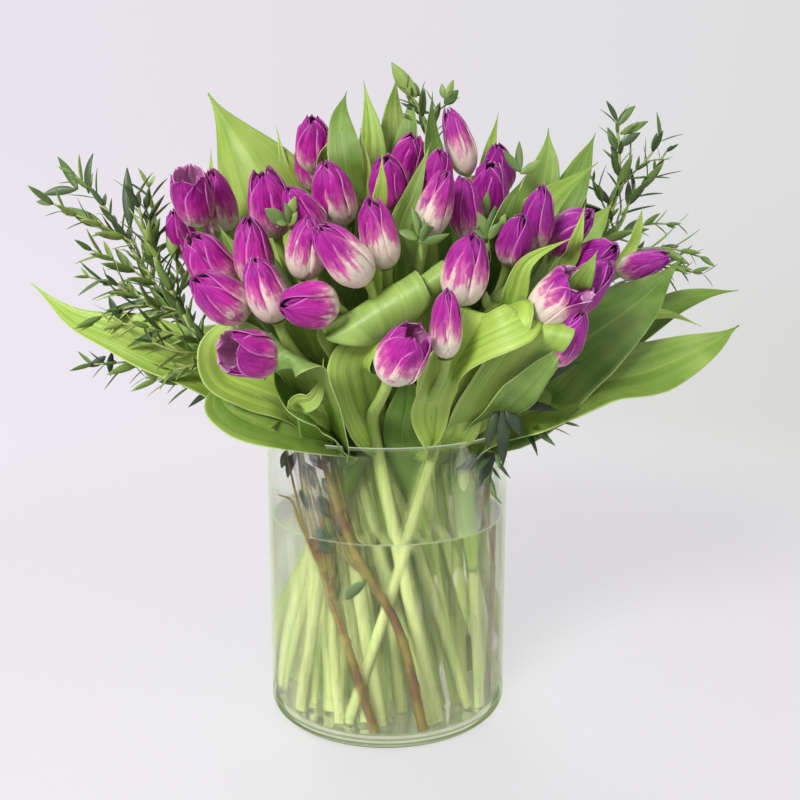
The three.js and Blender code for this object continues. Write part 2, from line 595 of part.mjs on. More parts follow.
// Leaves stand in opposite pairs, each pair turned a quarter from the one below, and one ends the twig.
function twigParts(route, pairs, bare, radius, margin) {
  const rib = new THREE.CatmullRomCurve3(route, false, "centripetal");
  const parts = [tube(rib, radius + margin, TWIG_SIDES, route.length + (bare > 0 ? 1 : -1))];
  for (let pair = 0; pair < pairs; pair += 1) {
    const u = bare + (1 - bare) * ((pair + 0.6) / pairs);
    const at = rib.getPointAt(Math.min(u, 1));
    const along = rib.getTangentAt(Math.min(u, 1));
    const flat = new THREE.Vector3(0, -1, 0).cross(along).normalize();
    const across = pair % 2 === 0 ? flat : flat.clone().cross(along).normalize();
    for (const hand of [-1, 1]) {
      const tilt = THREE.MathUtils.degToRad(LEAF_TILT);
      const ray = along.clone().multiplyScalar(Math.cos(tilt));
      ray.addScaledVector(across, hand * Math.sin(tilt));
      const wide = ray.clone().cross(along).normalize();
      parts.push(eucalyptusLeaf(at, ray, wide, margin));
    }
  }
  const end = rib.getPointAt(1);
  const ahead = rib.getTangentAt(1);
  parts.push(eucalyptusLeaf(end, ahead, new THREE.Vector3(0, -1, 0).cross(ahead).normalize(), margin));
  return parts;
}

function sprayBody(row, margin = 0) {
  const parts = twigParts(row.route, row.pairs, row.bare, TWIG_RADIUS, margin);
  for (const side of row.branches) {
    parts.push(...twigParts(side.route, side.pairs, 0, TWIG_RADIUS * SIDE_TWIG_SHARE, margin));
  }
  return joined(parts.map(solid));
}

// ---------------------------------------------------------------- the bouquet

const bouquet = new THREE.Group();

function add(name, geometry, material) {
  const mesh = new THREE.Mesh(geometry, material);
  mesh.name = name;
  bouquet.add(mesh);
  return mesh;
}

const MARGIN = GAP + 0.15;

// The space round a bloom that leaves and twigs keep out of.
function bloomZone(row) {
  const grown = bloomGeometry(row, MARGIN).applyMatrix4(bloomPlace(row, MARGIN));
  const corners = [];
  for (let index = 0; index < grown.attributes.position.count; index += 1) {
    corners.push(new THREE.Vector3().fromBufferAttribute(grown.attributes.position, index));
  }
  return solid(new ConvexGeometry(corners));
}

const bloomZones = BLOOMS.map(bloomZone);
const stems = BLOOMS.map((row, index) => solid(stemGeometry(index)));
const stemZones = BLOOMS.map((row, index) => solid(stemGeometry(index, MARGIN)));

// The upper glass wall, grown by the same margin.
function rimZone() {
  const inner = VASE_RADIUS - GLASS_WALL - MARGIN;
  const outer = VASE_RADIUS + MARGIN;
  const top = VASE_HEIGHT + MARGIN;
  const low = WATER_LEVEL;
  const corners = [[inner, low], [outer, low], [outer, top], [inner, top], [inner, low]];
  const outline = corners.map(([x, y]) => new THREE.Vector2(x, y));
  return solid(new THREE.LatheGeometry(outline, VASE_SIDES).rotateX(Math.PI / 2));
}

for (const name of new Set(BLOOMS.map((row) => row.name))) {
  const rows = BLOOMS.filter((row) => row.name === name);
  if (rows.length === 1) {
    add(name, bloomGeometry(rows[0]), petal).applyMatrix4(bloomPlace(rows[0]));
  } else {
    const heads = rows.map((row) => solid(bloomGeometry(row).applyMatrix4(bloomPlace(row))));
    add(name, geometryOf(largestBody(joined(heads))), petal);
  }
}

const sprayZones = SPRAYS.map((row) => sprayBody(row, MARGIN));
const sprayBodies = SPRAYS.map((row, index) => {
  const earlier = sprayZones.slice(0, index);
  return largestBody(clearedOf(sprayBody(row), [...bloomZones, ...stemZones, ...earlier]));
});
SPRAYS.forEach((row, index) => add(row.name, geometryOf(sprayBodies[index]), eucalyptus));

const bunches = [...new Set(BLOOMS.map((row) => row.bunch))];
const leafZones = [rimZone()];
for (const bunch of bunches) {
  const own = BLOOMS.map((row) => row.bunch === bunch);
  const otherStems = stemZones.filter((zone, index) => !own[index]);
  const bodies = stems.filter((body, index) => own[index]);
  const zones = [];
  for (const row of LEAVES) {
    const owner = BLOOMS.findIndex((flower) => flower.number === row.stem);
    if (own[owner]) {
      const blade = solid(leafGeometry(row));
      bodies.push(clearedOf(blade, [...bloomZones, ...otherStems, ...sprayZones, ...leafZones]));
      zones.push(solid(leafGeometry(row, MARGIN)));
    }
  }
  leafZones.push(...zones);
  add(`leafy_stems_${bunch}`, geometryOf(largestBody(joined(bodies))), foliage);
}

add("vase", vaseGeometry(), glass);

const holes = BLOOMS.map((row, index) => {
  const { foot, waist } = STEM_CURVES[index];
  return solid(holeGeometry(foot, waist));
});
const twigHoles = SPRAYS.map((row) => {
  const rib = new THREE.CatmullRomCurve3(row.route, false, "centripetal");
  return solid(tube(rib, TWIG_RADIUS + 0.6, TWIG_SIDES, row.route.length + 1));
});
const standing = clearedOf(solid(waterGeometry()), [...holes, ...twigHoles]);
add("water", geometryOf(largestBody(standing)), water);

export default bouquet;
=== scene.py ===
# %% [markdown]
# # A vase of purple tulips
# The real thing is about fifty cut tulips with their long leaves and a few sprays of narrow-leaved
# eucalyptus, standing in water in a thick cylinder of clear glass. The solid model of it gives the
# places and sizes; a few leaves and blooms were set right against the photograph later. This script
# makes the surfaces: six thin petals for each bloom, round stems, waved leaves, hundreds of small
# eucalyptus leaves, and glass and water that bend the light. Everything is worked out in millimetres
# and made in metres.

# %% Load the solid model
import math
import random

import bpy
import numpy as np
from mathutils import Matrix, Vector


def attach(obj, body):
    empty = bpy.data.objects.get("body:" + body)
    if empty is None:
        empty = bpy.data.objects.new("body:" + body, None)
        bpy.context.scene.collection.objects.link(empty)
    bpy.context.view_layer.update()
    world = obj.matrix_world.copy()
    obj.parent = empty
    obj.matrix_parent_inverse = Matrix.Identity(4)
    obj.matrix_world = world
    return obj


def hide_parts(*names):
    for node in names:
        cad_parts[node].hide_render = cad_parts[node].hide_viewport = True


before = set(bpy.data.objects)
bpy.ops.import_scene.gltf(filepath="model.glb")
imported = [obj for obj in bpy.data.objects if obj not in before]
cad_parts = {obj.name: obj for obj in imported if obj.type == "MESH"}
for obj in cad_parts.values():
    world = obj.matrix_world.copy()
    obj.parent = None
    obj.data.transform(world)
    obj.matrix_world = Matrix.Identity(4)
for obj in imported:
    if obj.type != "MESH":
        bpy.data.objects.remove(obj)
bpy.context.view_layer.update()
MM = 0.001

# %% [markdown]
# ## Camera
# The photograph was taken from a little above the blooms, from three quarters of a metre away. A
# camera could be set by eye, but the vase gives its place: the rim, the waterline and the foot are
# ellipses of different openness, and that fixes the height of the lens and how far it looks down.

# %% Camera
CAMERA_PLACE = Vector((0, -755, 390)) * MM
CAMERA_DOWN = math.radians(9.88)
CAMERA_RIGHT = math.radians(0.80)
CAMERA_LENS = 41.445

scene = bpy.context.scene
camera = bpy.data.objects.new("camera", bpy.data.cameras.new("camera"))
camera.data.lens = CAMERA_LENS
camera.data.sensor_width = 36
camera.location = CAMERA_PLACE
camera.rotation_euler = (math.pi / 2 - CAMERA_DOWN, 0, -CAMERA_RIGHT)
scene.collection.objects.link(camera)
scene.camera = camera
scene.view_settings.view_transform = "Standard"
print("camera", round(CAMERA_PLACE.length, 3), "m from the foot of the vase")

# %% [markdown]
# ## Materials made of nodes
# Every finish is a small tree of nodes round one Principled shader. A helper adds a node, sets its
# unlinked values and joins its inputs, so that each material below reads from top to bottom.


# %% Node helpers
def add_node(tree, kind, values=None, links=None, **settings):
    """A node of a tree, with the values of its free inputs and the sockets that feed the others."""
    node = tree.nodes.new(kind)
    for key, value in settings.items():
        setattr(node, key, value)
    for key, value in (values or {}).items():
        node.inputs[key].default_value = value
    for key, socket in (links or {}).items():
        tree.links.new(socket, node.inputs[key])
    return node


def new_material(name):
    """A material with its tree and its Principled shader."""
    material = bpy.data.materials.new(name)
    material.use_nodes = True
    tree = material.node_tree
    return material, tree, tree.nodes["Principled BSDF"]


def srgb(red, green, blue):
    """A display colour, 0 to 255, as the linear colour that a shader takes."""
    shares = [level / 255 for level in (red, green, blue)]
    linear = [c / 12.92 if c < 0.04045 else ((c + 0.055) / 1.055) ** 2.4 for c in shares]
    return (*linear, 1)


def ramp(tree, factor, stops):
    """The colour between stops of place and colour, for a factor from 0 to 1."""
    node = add_node(tree, "ShaderNodeValToRGB", links={"Fac": factor})
    while len(node.color_ramp.elements) < len(stops):
        node.color_ramp.elements.new(0.5)
    for element, (place, colour) in zip(node.color_ramp.elements, stops):
        element.position = place
        element.color = colour
    return node.outputs["Color"]


def grey(value):
    return (value, value, value, 1)


def math_node(tree, operation, a, b=None):
    """A sum, product or the like of two values or sockets."""
    node = add_node(tree, "ShaderNodeMath", operation=operation)
    for index, value in enumerate((a, b)):
        if value is None:
            continue
        if isinstance(value, (int, float)):
            node.inputs[index].default_value = value
        else:
            tree.links.new(value, node.inputs[index])
    return node.outputs[0]


def mix_colours(tree, factor, a, b):
    """Colour a where the factor is 0, and colour b where it is 1."""
    node = add_node(tree, "ShaderNodeMix", data_type="RGBA")
    for index, value in ((0, factor), (6, a), (7, b)):
        if isinstance(value, (int, float, tuple)):
            node.inputs[index].default_value = value
        else:
            tree.links.new(value, node.inputs[index])
    return node.outputs[2]


def attribute(tree, name):
    """A value that is stored on the mesh under this name."""
    return add_node(tree, "ShaderNodeAttribute", attribute_name=name).outputs["Fac"]


def noise(tree, vector, scale, detail=2.0, roughness=0.5):
    values = {"Scale": scale, "Detail": detail, "Roughness": roughness}
    return add_node(tree, "ShaderNodeTexNoise", values, {"Vector": vector}).outputs["Fac"]


def stretched(tree, vector, scale):
    """The same places with each axis scaled, which stretches the pattern that reads them."""
    node = add_node(tree, "ShaderNodeMapping", {"Scale": scale}, {"Vector": vector})
    return node.outputs["Vector"]


def bump(tree, height, strength, distance):
    values = {"Strength": strength, "Distance": distance}
    return add_node(tree, "ShaderNodeBump", values, {"Height": height}).outputs["Normal"]


# %% [markdown]
# ## Studio
# The photograph has a seamless pale ground, a little lilac at the left and grey at the right, and one
# big soft light from the left that leaves a faint shadow at the right. A curved backdrop would do
# that from the front only. Here the sky of the scene is that same pale colour, and the floor fades
# into it, so no horizon shows from any side. Part of the floor's brightness is its own even glow.

# %% Sky
SKY_LEFT = srgb(234, 229, 237)
SKY_RIGHT = srgb(222, 222, 223)
HAZE_LEFT = srgb(240, 234, 243)  # the same two near the horizon
HAZE_RIGHT = srgb(217, 218, 215)
SKY_TURN = 0.42                  # how far to either side the sky goes from left colour to right
HAZE_BAND = (-0.16, 0.14)        # between these heights of a look it goes from haze to open sky
SKY_FILL = 0.54                  # how much of the sky's light reaches matt surfaces

world = bpy.data.worlds.new("studio")
world.use_nodes = True
scene.world = world
sky = world.node_tree
direction = add_node(sky, "ShaderNodeTexCoord").outputs["Generated"]
across = add_node(sky, "ShaderNodeSeparateXYZ", links={"Vector": direction}).outputs["X"]
share = add_node(sky, "ShaderNodeMapRange", {"From Min": -SKY_TURN, "From Max": SKY_TURN}, {"Value": across})
high = mix_colours(sky, share.outputs["Result"], SKY_LEFT, SKY_RIGHT)
haze = mix_colours(sky, share.outputs["Result"], HAZE_LEFT, HAZE_RIGHT)
level = add_node(sky, "ShaderNodeSeparateXYZ", links={"Vector": direction}).outputs["Z"]
lifted = add_node(sky, "ShaderNodeMapRange", {"From Min": HAZE_BAND[0], "From Max": HAZE_BAND[1]},
                  {"Value": level}, interpolation_type="SMOOTHSTEP").outputs["Result"]
sky_colour = mix_colours(sky, lifted, haze, high)
sky.links.new(sky_colour, sky.nodes["Background"].inputs["Color"])
matt_ray = add_node(sky, "ShaderNodeLightPath").outputs["Is Diffuse Ray"]
strength = add_node(sky, "ShaderNodeMapRange", {"To Min": 1.0, "To Max": SKY_FILL}, {"Value": matt_ray})
sky.links.new(strength.outputs["Result"], sky.nodes["Background"].inputs["Strength"])
print("sky:", len(sky.nodes), "nodes")

# %% Floor
FLOOR_COLOUR = srgb(206, 204, 207)
FLOOR_GRAIN = srgb(202, 200, 203)
FLOOR_GLOW = srgb(240, 238, 241)
FLOOR_SHARE = 0.55               # how much of the floor is its own even glow, which softens the shadow
FLOOR_CLEAR = (0.45, 1.5)        # metres from the vase where the floor starts to fade, and is gone
FLOOR_BELOW = -0.0004            # the floor lies a hair under the glass, so the two never flicker

floor_material, tree, shader = new_material("studio_floor")
shader.inputs["Roughness"].default_value = 0.8
place = add_node(tree, "ShaderNodeTexCoord").outputs["Object"]
grain = noise(tree, place, 60, 4)
tree.links.new(mix_colours(tree, grain, FLOOR_GRAIN, FLOOR_COLOUR), shader.inputs["Base Color"])
glow = add_node(tree, "ShaderNodeEmission", {"Color": FLOOR_GLOW, "Strength": 1.0}).outputs["Emission"]
lit = add_node(tree, "ShaderNodeMixShader", {0: FLOOR_SHARE}, {1: shader.outputs["BSDF"], 2: glow})
reach = add_node(tree, "ShaderNodeVectorMath", links={0: place}, operation="LENGTH").outputs["Value"]
fade = add_node(tree, "ShaderNodeMapRange", {"From Min": FLOOR_CLEAR[0], "From Max": FLOOR_CLEAR[1]},
                {"Value": reach}, interpolation_type="SMOOTHSTEP").outputs["Result"]
clear = add_node(tree, "ShaderNodeBsdfTransparent").outputs["BSDF"]
floor_mix = add_node(tree, "ShaderNodeMixShader", links={0: fade, 1: lit.outputs["Shader"], 2: clear})
tree.links.new(floor_mix.outputs["Shader"], tree.nodes["Material Output"].inputs["Surface"])

bpy.ops.mesh.primitive_circle_add(vertices=96, radius=FLOOR_CLEAR[1] + 0.05, fill_type="NGON")
floor = bpy.context.object
floor.name = "studio_floor"
floor.location.z = FLOOR_BELOW
floor.data.materials.append(floor_material)
print("floor:", round(2 * FLOOR_CLEAR[1], 1), "m across, then it is gone")

# %% Lights
LIGHT_TARGET = Vector((0, 0, 0.3))


def soft_light(name, place, size, power):
    """A round area light that looks at the middle of the bouquet and doesn't show through glass."""
    light = bpy.data.lights.new(name, "AREA")
    light.shape = "DISK"
    light.size = size
    light.energy = power
    lamp = bpy.data.objects.new(name, light)
    lamp.location = place
    lamp.rotation_euler = (LIGHT_TARGET - Vector(place)).to_track_quat("-Z", "Y").to_euler()
    lamp.visible_transmission = False
    scene.collection.objects.link(lamp)


soft_light("key_light", (-1.1, -1.9, 1.5), 0.8, 70)
soft_light("fill_light", (1.6, -1.6, 1.3), 1.6, 12)
soft_light("back_light", (-0.4, 1.8, 1.9), 1.2, 24)
print("lights:", len(bpy.data.lights), "soft ones")

# %% [markdown]
# ## Meshes
# Petals and leaves are thin blades. A blade is made from a grid of points along its middle: both
# faces lie half the thickness away on either side, and a rim closes them, so each blade is a closed
# solid. Blender's Solidify modifier could thicken a sheet too, but here the thickness changes from the
# rib to the margin. The grid's rows and columns become the UV map "blade", which the veins follow.


# %% Blades and pieces
def blade(middle, thickness, values=None):
    """A closed blade about a grid of points, as points, faces, UV and named values for each point."""
    rows, columns = middle.shape[:2]
    across = np.gradient(middle, axis=1)
    along = np.gradient(middle, axis=0)
    normal = np.cross(across, along)
    normal /= np.maximum(np.linalg.norm(normal, axis=2, keepdims=True), 1e-9)
    half = np.broadcast_to(thickness, (rows, columns))[..., None] / 2
    upper = (middle + normal * half).reshape(-1, 3)
    lower = (middle - normal * half).reshape(-1, 3)
    points = np.concatenate([upper, lower])
    index = np.arange(rows * columns).reshape(rows, columns)
    under = rows * columns
    quads = np.stack([index[:-1, :-1], index[:-1, 1:], index[1:, 1:], index[1:, :-1]], axis=-1)
    quads = quads.reshape(-1, 4)
    rim = np.concatenate([index[0], index[1:, -1], index[-1, -2::-1], index[-2:0:-1, 0]])
    ahead = np.roll(rim, -1)
    sides = np.stack([ahead, rim, rim + under, ahead + under], axis=-1)
    faces = np.concatenate([quads, quads[:, ::-1] + under, sides])
    v, u = np.meshgrid(np.linspace(0, 1, columns), np.linspace(0, 1, rows))
    uv = np.tile(np.stack([v, u], axis=-1).reshape(-1, 2), (2, 1))
    named = {key: np.full(len(points), float(value)) for key, value in (values or {}).items()}
    named["under"] = np.repeat([0.0, 1.0], under)
    return points, faces, uv, named


def merged(parts):
    """Several blades as one set of points, faces, UV and named values."""
    start = np.cumsum([0] + [len(p[0]) for p in parts])
    points = np.concatenate([p[0] for p in parts])
    faces = np.concatenate([p[1] + offset for p, offset in zip(parts, start)])
    uv = np.concatenate([p[2] for p in parts])
    named = {key: np.concatenate([p[3][key] for p in parts]) for key in parts[0][3]}
    return points, faces, uv, named


def new_piece(name, shape, material, slot, *nodes):
    """A mesh from millimetre points that rides on the bouquet and stands for its solid nodes."""
    points, faces, uv, named = shape
    # A face with the same corner twice is a triangle.
    corners = [list(dict.fromkeys(face)) for face in faces.tolist()]
    mesh = bpy.data.meshes.new(name)
    mesh.from_pydata((points * MM).tolist(), [], corners)
    corner = np.zeros(len(mesh.loops), int)
    mesh.loops.foreach_get("vertex_index", corner)
    mesh.uv_layers.new(name="blade").data.foreach_set("uv", uv[corner].ravel())
    for key, value in named.items():
        mesh.attributes.new(key, "FLOAT", "POINT").data.foreach_set("value", value.astype(np.float32))
    mesh.polygons.foreach_set("use_smooth", np.ones(len(mesh.polygons), bool))
    mesh.materials.append(material)
    return finished(name, mesh, slot, *nodes)


def finished(name, mesh, slot, *nodes):
    """A piece from a plain mesh: it rides on the one body and replaces the nodes that are named."""
    piece = bpy.data.objects.new(name, mesh)
    scene.collection.objects.link(piece)
    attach(piece, "root")
    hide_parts(*nodes)
    return piece


def smoothstep(low, high, value):
    """0 up to the low end, 1 from the high end on, and a soft rise between them."""
    t = np.clip((value - low) / (high - low), 0, 1)
    return t * t * (3 - 2 * t)


# %% [markdown]
# ## The glass vase and its water
# A pressed or blown cylinder is a turned shape, so its outline is turned round the axis: a thick
# base, rounded heels outside and inside, a straight wall and a fire-polished rim. The glass is clear
# but faintly green where the light runs a long way in it, so the colour is in its volume. A lamp's
# shadow ray passes a glass surface as through a tinted film, which keeps the stems inside bright. The
# green and pale lines that thick glass shows along its foot and rim, where it gathers and reflects
# light, are painted reflections: thin glowing rings by height. The water is a turned body too. It
# reaches a hair into the glass, so that no air lies between them, and its edge climbs the wall a
# little, as water does; a pale painted reflection runs along that edge.

# %% A turned body
VASE_RADIUS = 100
VASE_HEIGHT = 240
GLASS_WALL = 3.2
GLASS_BASE = 9
HEEL_RADIUS = 7
INNER_HEEL_RADIUS = 5
WATER_LEVEL = 164
WATER_OVERLAP = 0.25             # the water reaches this far into the glass, so no air lies between
MENISCUS = 1.6                   # how high the water climbs the glass
MENISCUS_REACH = 1.8             # and how far from the wall that dies away
CORNER_RING = 0.3                # a ring this close to a sharp edge keeps the wall's shading upright
TURNED_SIDES = 128


def turned(outline):
    """Points and faces of an outline turned round Z; its first and last points lie on the axis."""
    outline = np.array(outline)
    angles = np.linspace(0, 2 * math.pi, TURNED_SIDES, endpoint=False)
    ring = outline[1:-1]
    points = [np.array([[0, 0, outline[0][1]]])]
    for radius, height in ring:
        level = np.full(TURNED_SIDES, height)
        points.append(np.stack([radius * np.cos(angles), radius * np.sin(angles), level], 1))
    points.append(np.array([[0, 0, outline[-1][1]]]))
    last = 1 + len(ring) * TURNED_SIDES
    faces = []
    for side in range(TURNED_SIDES):
        on = (side + 1) % TURNED_SIDES
        faces.append([0, 1 + on, 1 + side])
        for row in range(len(ring) - 1):
            low = 1 + row * TURNED_SIDES
            high = low + TURNED_SIDES
            faces.append([low + side, low + on, high + on, high + side])
        top = last - TURNED_SIDES
        faces.append([last, top + side, top + on])
    return np.concatenate(points), faces


def arc(centre, radius, start, end, steps=10):
    angles = np.radians(np.linspace(start, end, steps + 1))
    return [(centre[0] + radius * math.cos(a), centre[1] + radius * math.sin(a)) for a in angles]


# %% Clear materials
CLEAR_GLARE = 0.28               # the soft studio leaves little glare on the glass
WALL_BAND = 8                    # the painted reflection rings keep to the outermost millimetres
GLASS_PAINTED_REFLECTIONS = [                  # painted reflections, dark and pale, as rings: height and half width in millimetres, strength, colour
    (0.7, 2.4, 1.0, srgb(84, 106, 30)),
    (3.4, 1.0, 0.45, srgb(206, 216, 172)),
    (5.8, 1.6, 0.85, srgb(102, 126, 42)),
    (9.4, 1.7, 0.7, srgb(118, 140, 58)),
    (12.0, 1.4, 0.35, srgb(214, 222, 194)),
    (238.2, 0.8, 0.4, srgb(150, 166, 126)),
    (239.9, 0.7, 0.75, srgb(206, 218, 194)),
]
# a pale painted reflection along the waterline, where the water climbs the glass
WATER_PAINTED_REFLECTIONS = [(WATER_LEVEL + MENISCUS, 1.3, 0.75, srgb(196, 212, 172))]


def clear_material(name, alpha, film, refraction, absorbed, density, rings):
    """Glass or water: a refracting surface with rings of painted reflection, and a volume that takes up some
    light.
    """
    material, tree, shader = new_material(name)
    shader.inputs["Base Color"].default_value = grey(1)
    shader.inputs["Alpha"].default_value = alpha
    shader.inputs["Roughness"].default_value = 0.0
    shader.inputs["IOR"].default_value = refraction
    shader.inputs["Transmission Weight"].default_value = 1.0
    shader.inputs["Specular IOR Level"].default_value = CLEAR_GLARE
    place = add_node(tree, "ShaderNodeTexCoord").outputs["Object"]
    ripple = noise(tree, place, 9, 1)
    tree.links.new(bump(tree, ripple, 0.06, 0.004), shader.inputs["Normal"])
    surface = shader.outputs["BSDF"]
    parts = add_node(tree, "ShaderNodeSeparateXYZ", links={"Vector": place})
    height = parts.outputs["Z"]
    flat = add_node(tree, "ShaderNodeCombineXYZ", links={"X": parts.outputs["X"], "Y": parts.outputs["Y"]})
    reach = add_node(tree, "ShaderNodeVectorMath", links={0: flat.outputs["Vector"]}, operation="LENGTH")
    on_wall = math_node(tree, "GREATER_THAN", reach.outputs["Value"], (VASE_RADIUS - WALL_BAND) * MM)
    # Each ring is a painted reflection: a glowing colour mixed into the surface by height, on the wall only.
    for level, half, strength, colour in rings:
        away = math_node(tree, "ABSOLUTE", math_node(tree, "SUBTRACT", height, level * MM))
        fall = {"From Max": half * MM, "To Min": strength, "To Max": 0.0}
        share = add_node(tree, "ShaderNodeMapRange", fall, {"Value": away}, interpolation_type="SMOOTHSTEP")
        share = math_node(tree, "MULTIPLY", share.outputs["Result"], on_wall)
        painted_reflection = add_node(tree, "ShaderNodeEmission", {"Color": colour, "Strength": 1.0}).outputs["Emission"]
        ringed_surface = add_node(tree, "ShaderNodeMixShader", links={0: share, 1: surface, 2: painted_reflection})
        surface = ringed_surface.outputs["Shader"]
    shadow = add_node(tree, "ShaderNodeLightPath").outputs["Is Shadow Ray"]
    clear = add_node(tree, "ShaderNodeBsdfTransparent", {"Color": film}).outputs["BSDF"]
    both = add_node(tree, "ShaderNodeMixShader", links={0: shadow, 1: surface, 2: clear})
    output = tree.nodes["Material Output"]
    tree.links.new(both.outputs["Shader"], output.inputs["Surface"])
    volume = add_node(tree, "ShaderNodeVolumeAbsorption", {"Color": absorbed, "Density": density})
    tree.links.new(volume.outputs["Volume"], output.inputs["Volume"])
    return material


glass = clear_material("clear_green_glass", 0.3, grey(0.96), 1.5, (0.55, 0.72, 0.10, 1), 9.0, GLASS_PAINTED_REFLECTIONS)
water = clear_material("still_water", 1.0, grey(0.98), 1.333, (0.70, 0.85, 0.45, 1), 1.6, WATER_PAINTED_REFLECTIONS)
print("clear materials:", len(GLASS_PAINTED_REFLECTIONS) + len(WATER_PAINTED_REFLECTIONS), "painted rings")

# %% The vase and the water
inner = VASE_RADIUS - GLASS_WALL
rim = GLASS_WALL / 2
heel = (inner - INNER_HEEL_RADIUS, GLASS_BASE + INNER_HEEL_RADIUS)
vase_outline = [(0, 0)]
vase_outline += arc((VASE_RADIUS - HEEL_RADIUS, HEEL_RADIUS), HEEL_RADIUS, -90, 0)
vase_outline += arc((VASE_RADIUS - rim, VASE_HEIGHT - rim), rim, 0, 180, 12)
vase_outline += arc(heel, INNER_HEEL_RADIUS, 360, 270)
vase_outline += [(0, GLASS_BASE)]

wet = inner + WATER_OVERLAP
wet_heel = INNER_HEEL_RADIUS + WATER_OVERLAP
water_outline = [(0, GLASS_BASE - WATER_OVERLAP)]
water_outline += arc(heel, wet_heel, -90, 0)
water_outline += [(wet, WATER_LEVEL + MENISCUS - CORNER_RING), (wet, WATER_LEVEL + MENISCUS)]
for away in (0.8, 1.8, 3.2, 5.5, 9.0):
    water_outline += [(inner - away, WATER_LEVEL + MENISCUS * math.exp(-away / MENISCUS_REACH))]
water_outline += [(0, WATER_LEVEL)]


def turned_piece(name, outline, material, slot, node):
    """A smooth turned body as a piece that stands for its solid node."""
    points, faces = turned(outline)
    mesh = bpy.data.meshes.new(name)
    mesh.from_pydata((points * MM).tolist(), [], faces)
    mesh.polygons.foreach_set("use_smooth", np.ones(len(mesh.polygons), bool))
    mesh.materials.append(material)
    return finished(name, mesh, slot, node)


turned_piece("glass_cylinder", vase_outline, glass, "vase_glass", "vase")
turned_piece("vase_water", water_outline, water, "water", "water")
print("vase", 2 * VASE_RADIUS, "mm across,", VASE_HEIGHT, "mm tall; water", WATER_LEVEL, "mm deep")

# %% [markdown]
# ## Where each bloom stands
# The rows are those of the solid model, with a few leaned, slimmed or opened a little more: where
# the bloom meets its stem, the way it leans as seen from above, its lean from upright, its length and
# girth, how far it has opened, and its bunch of stems. The last number is new: how much of each petal
# is cream white before the purple begins. Blooms could be scattered by a rule, but a bouquet is known
# by its front, so each one has a row, and the rows with a letter share a solid at the back.


# %% The blooms' table
class Bloom:
    """One tulip: the axis is the unit vector from its stem to its tip."""

    def __init__(self, number, at, toward, lean, long, girth, opened, bunch, cream=0.34):
        self.number = number
        self.node = "bloom_" + number[:2]
        self.at = np.array(at, float)
        toward, lean = math.radians(toward), math.radians(lean)
        flat = math.sin(lean)
        self.axis = np.array([flat * math.cos(toward), flat * math.sin(toward), math.cos(lean)])
        self.long = long
        self.girth = girth
        self.opened = opened
        self.bunch = bunch
        self.cream = cream


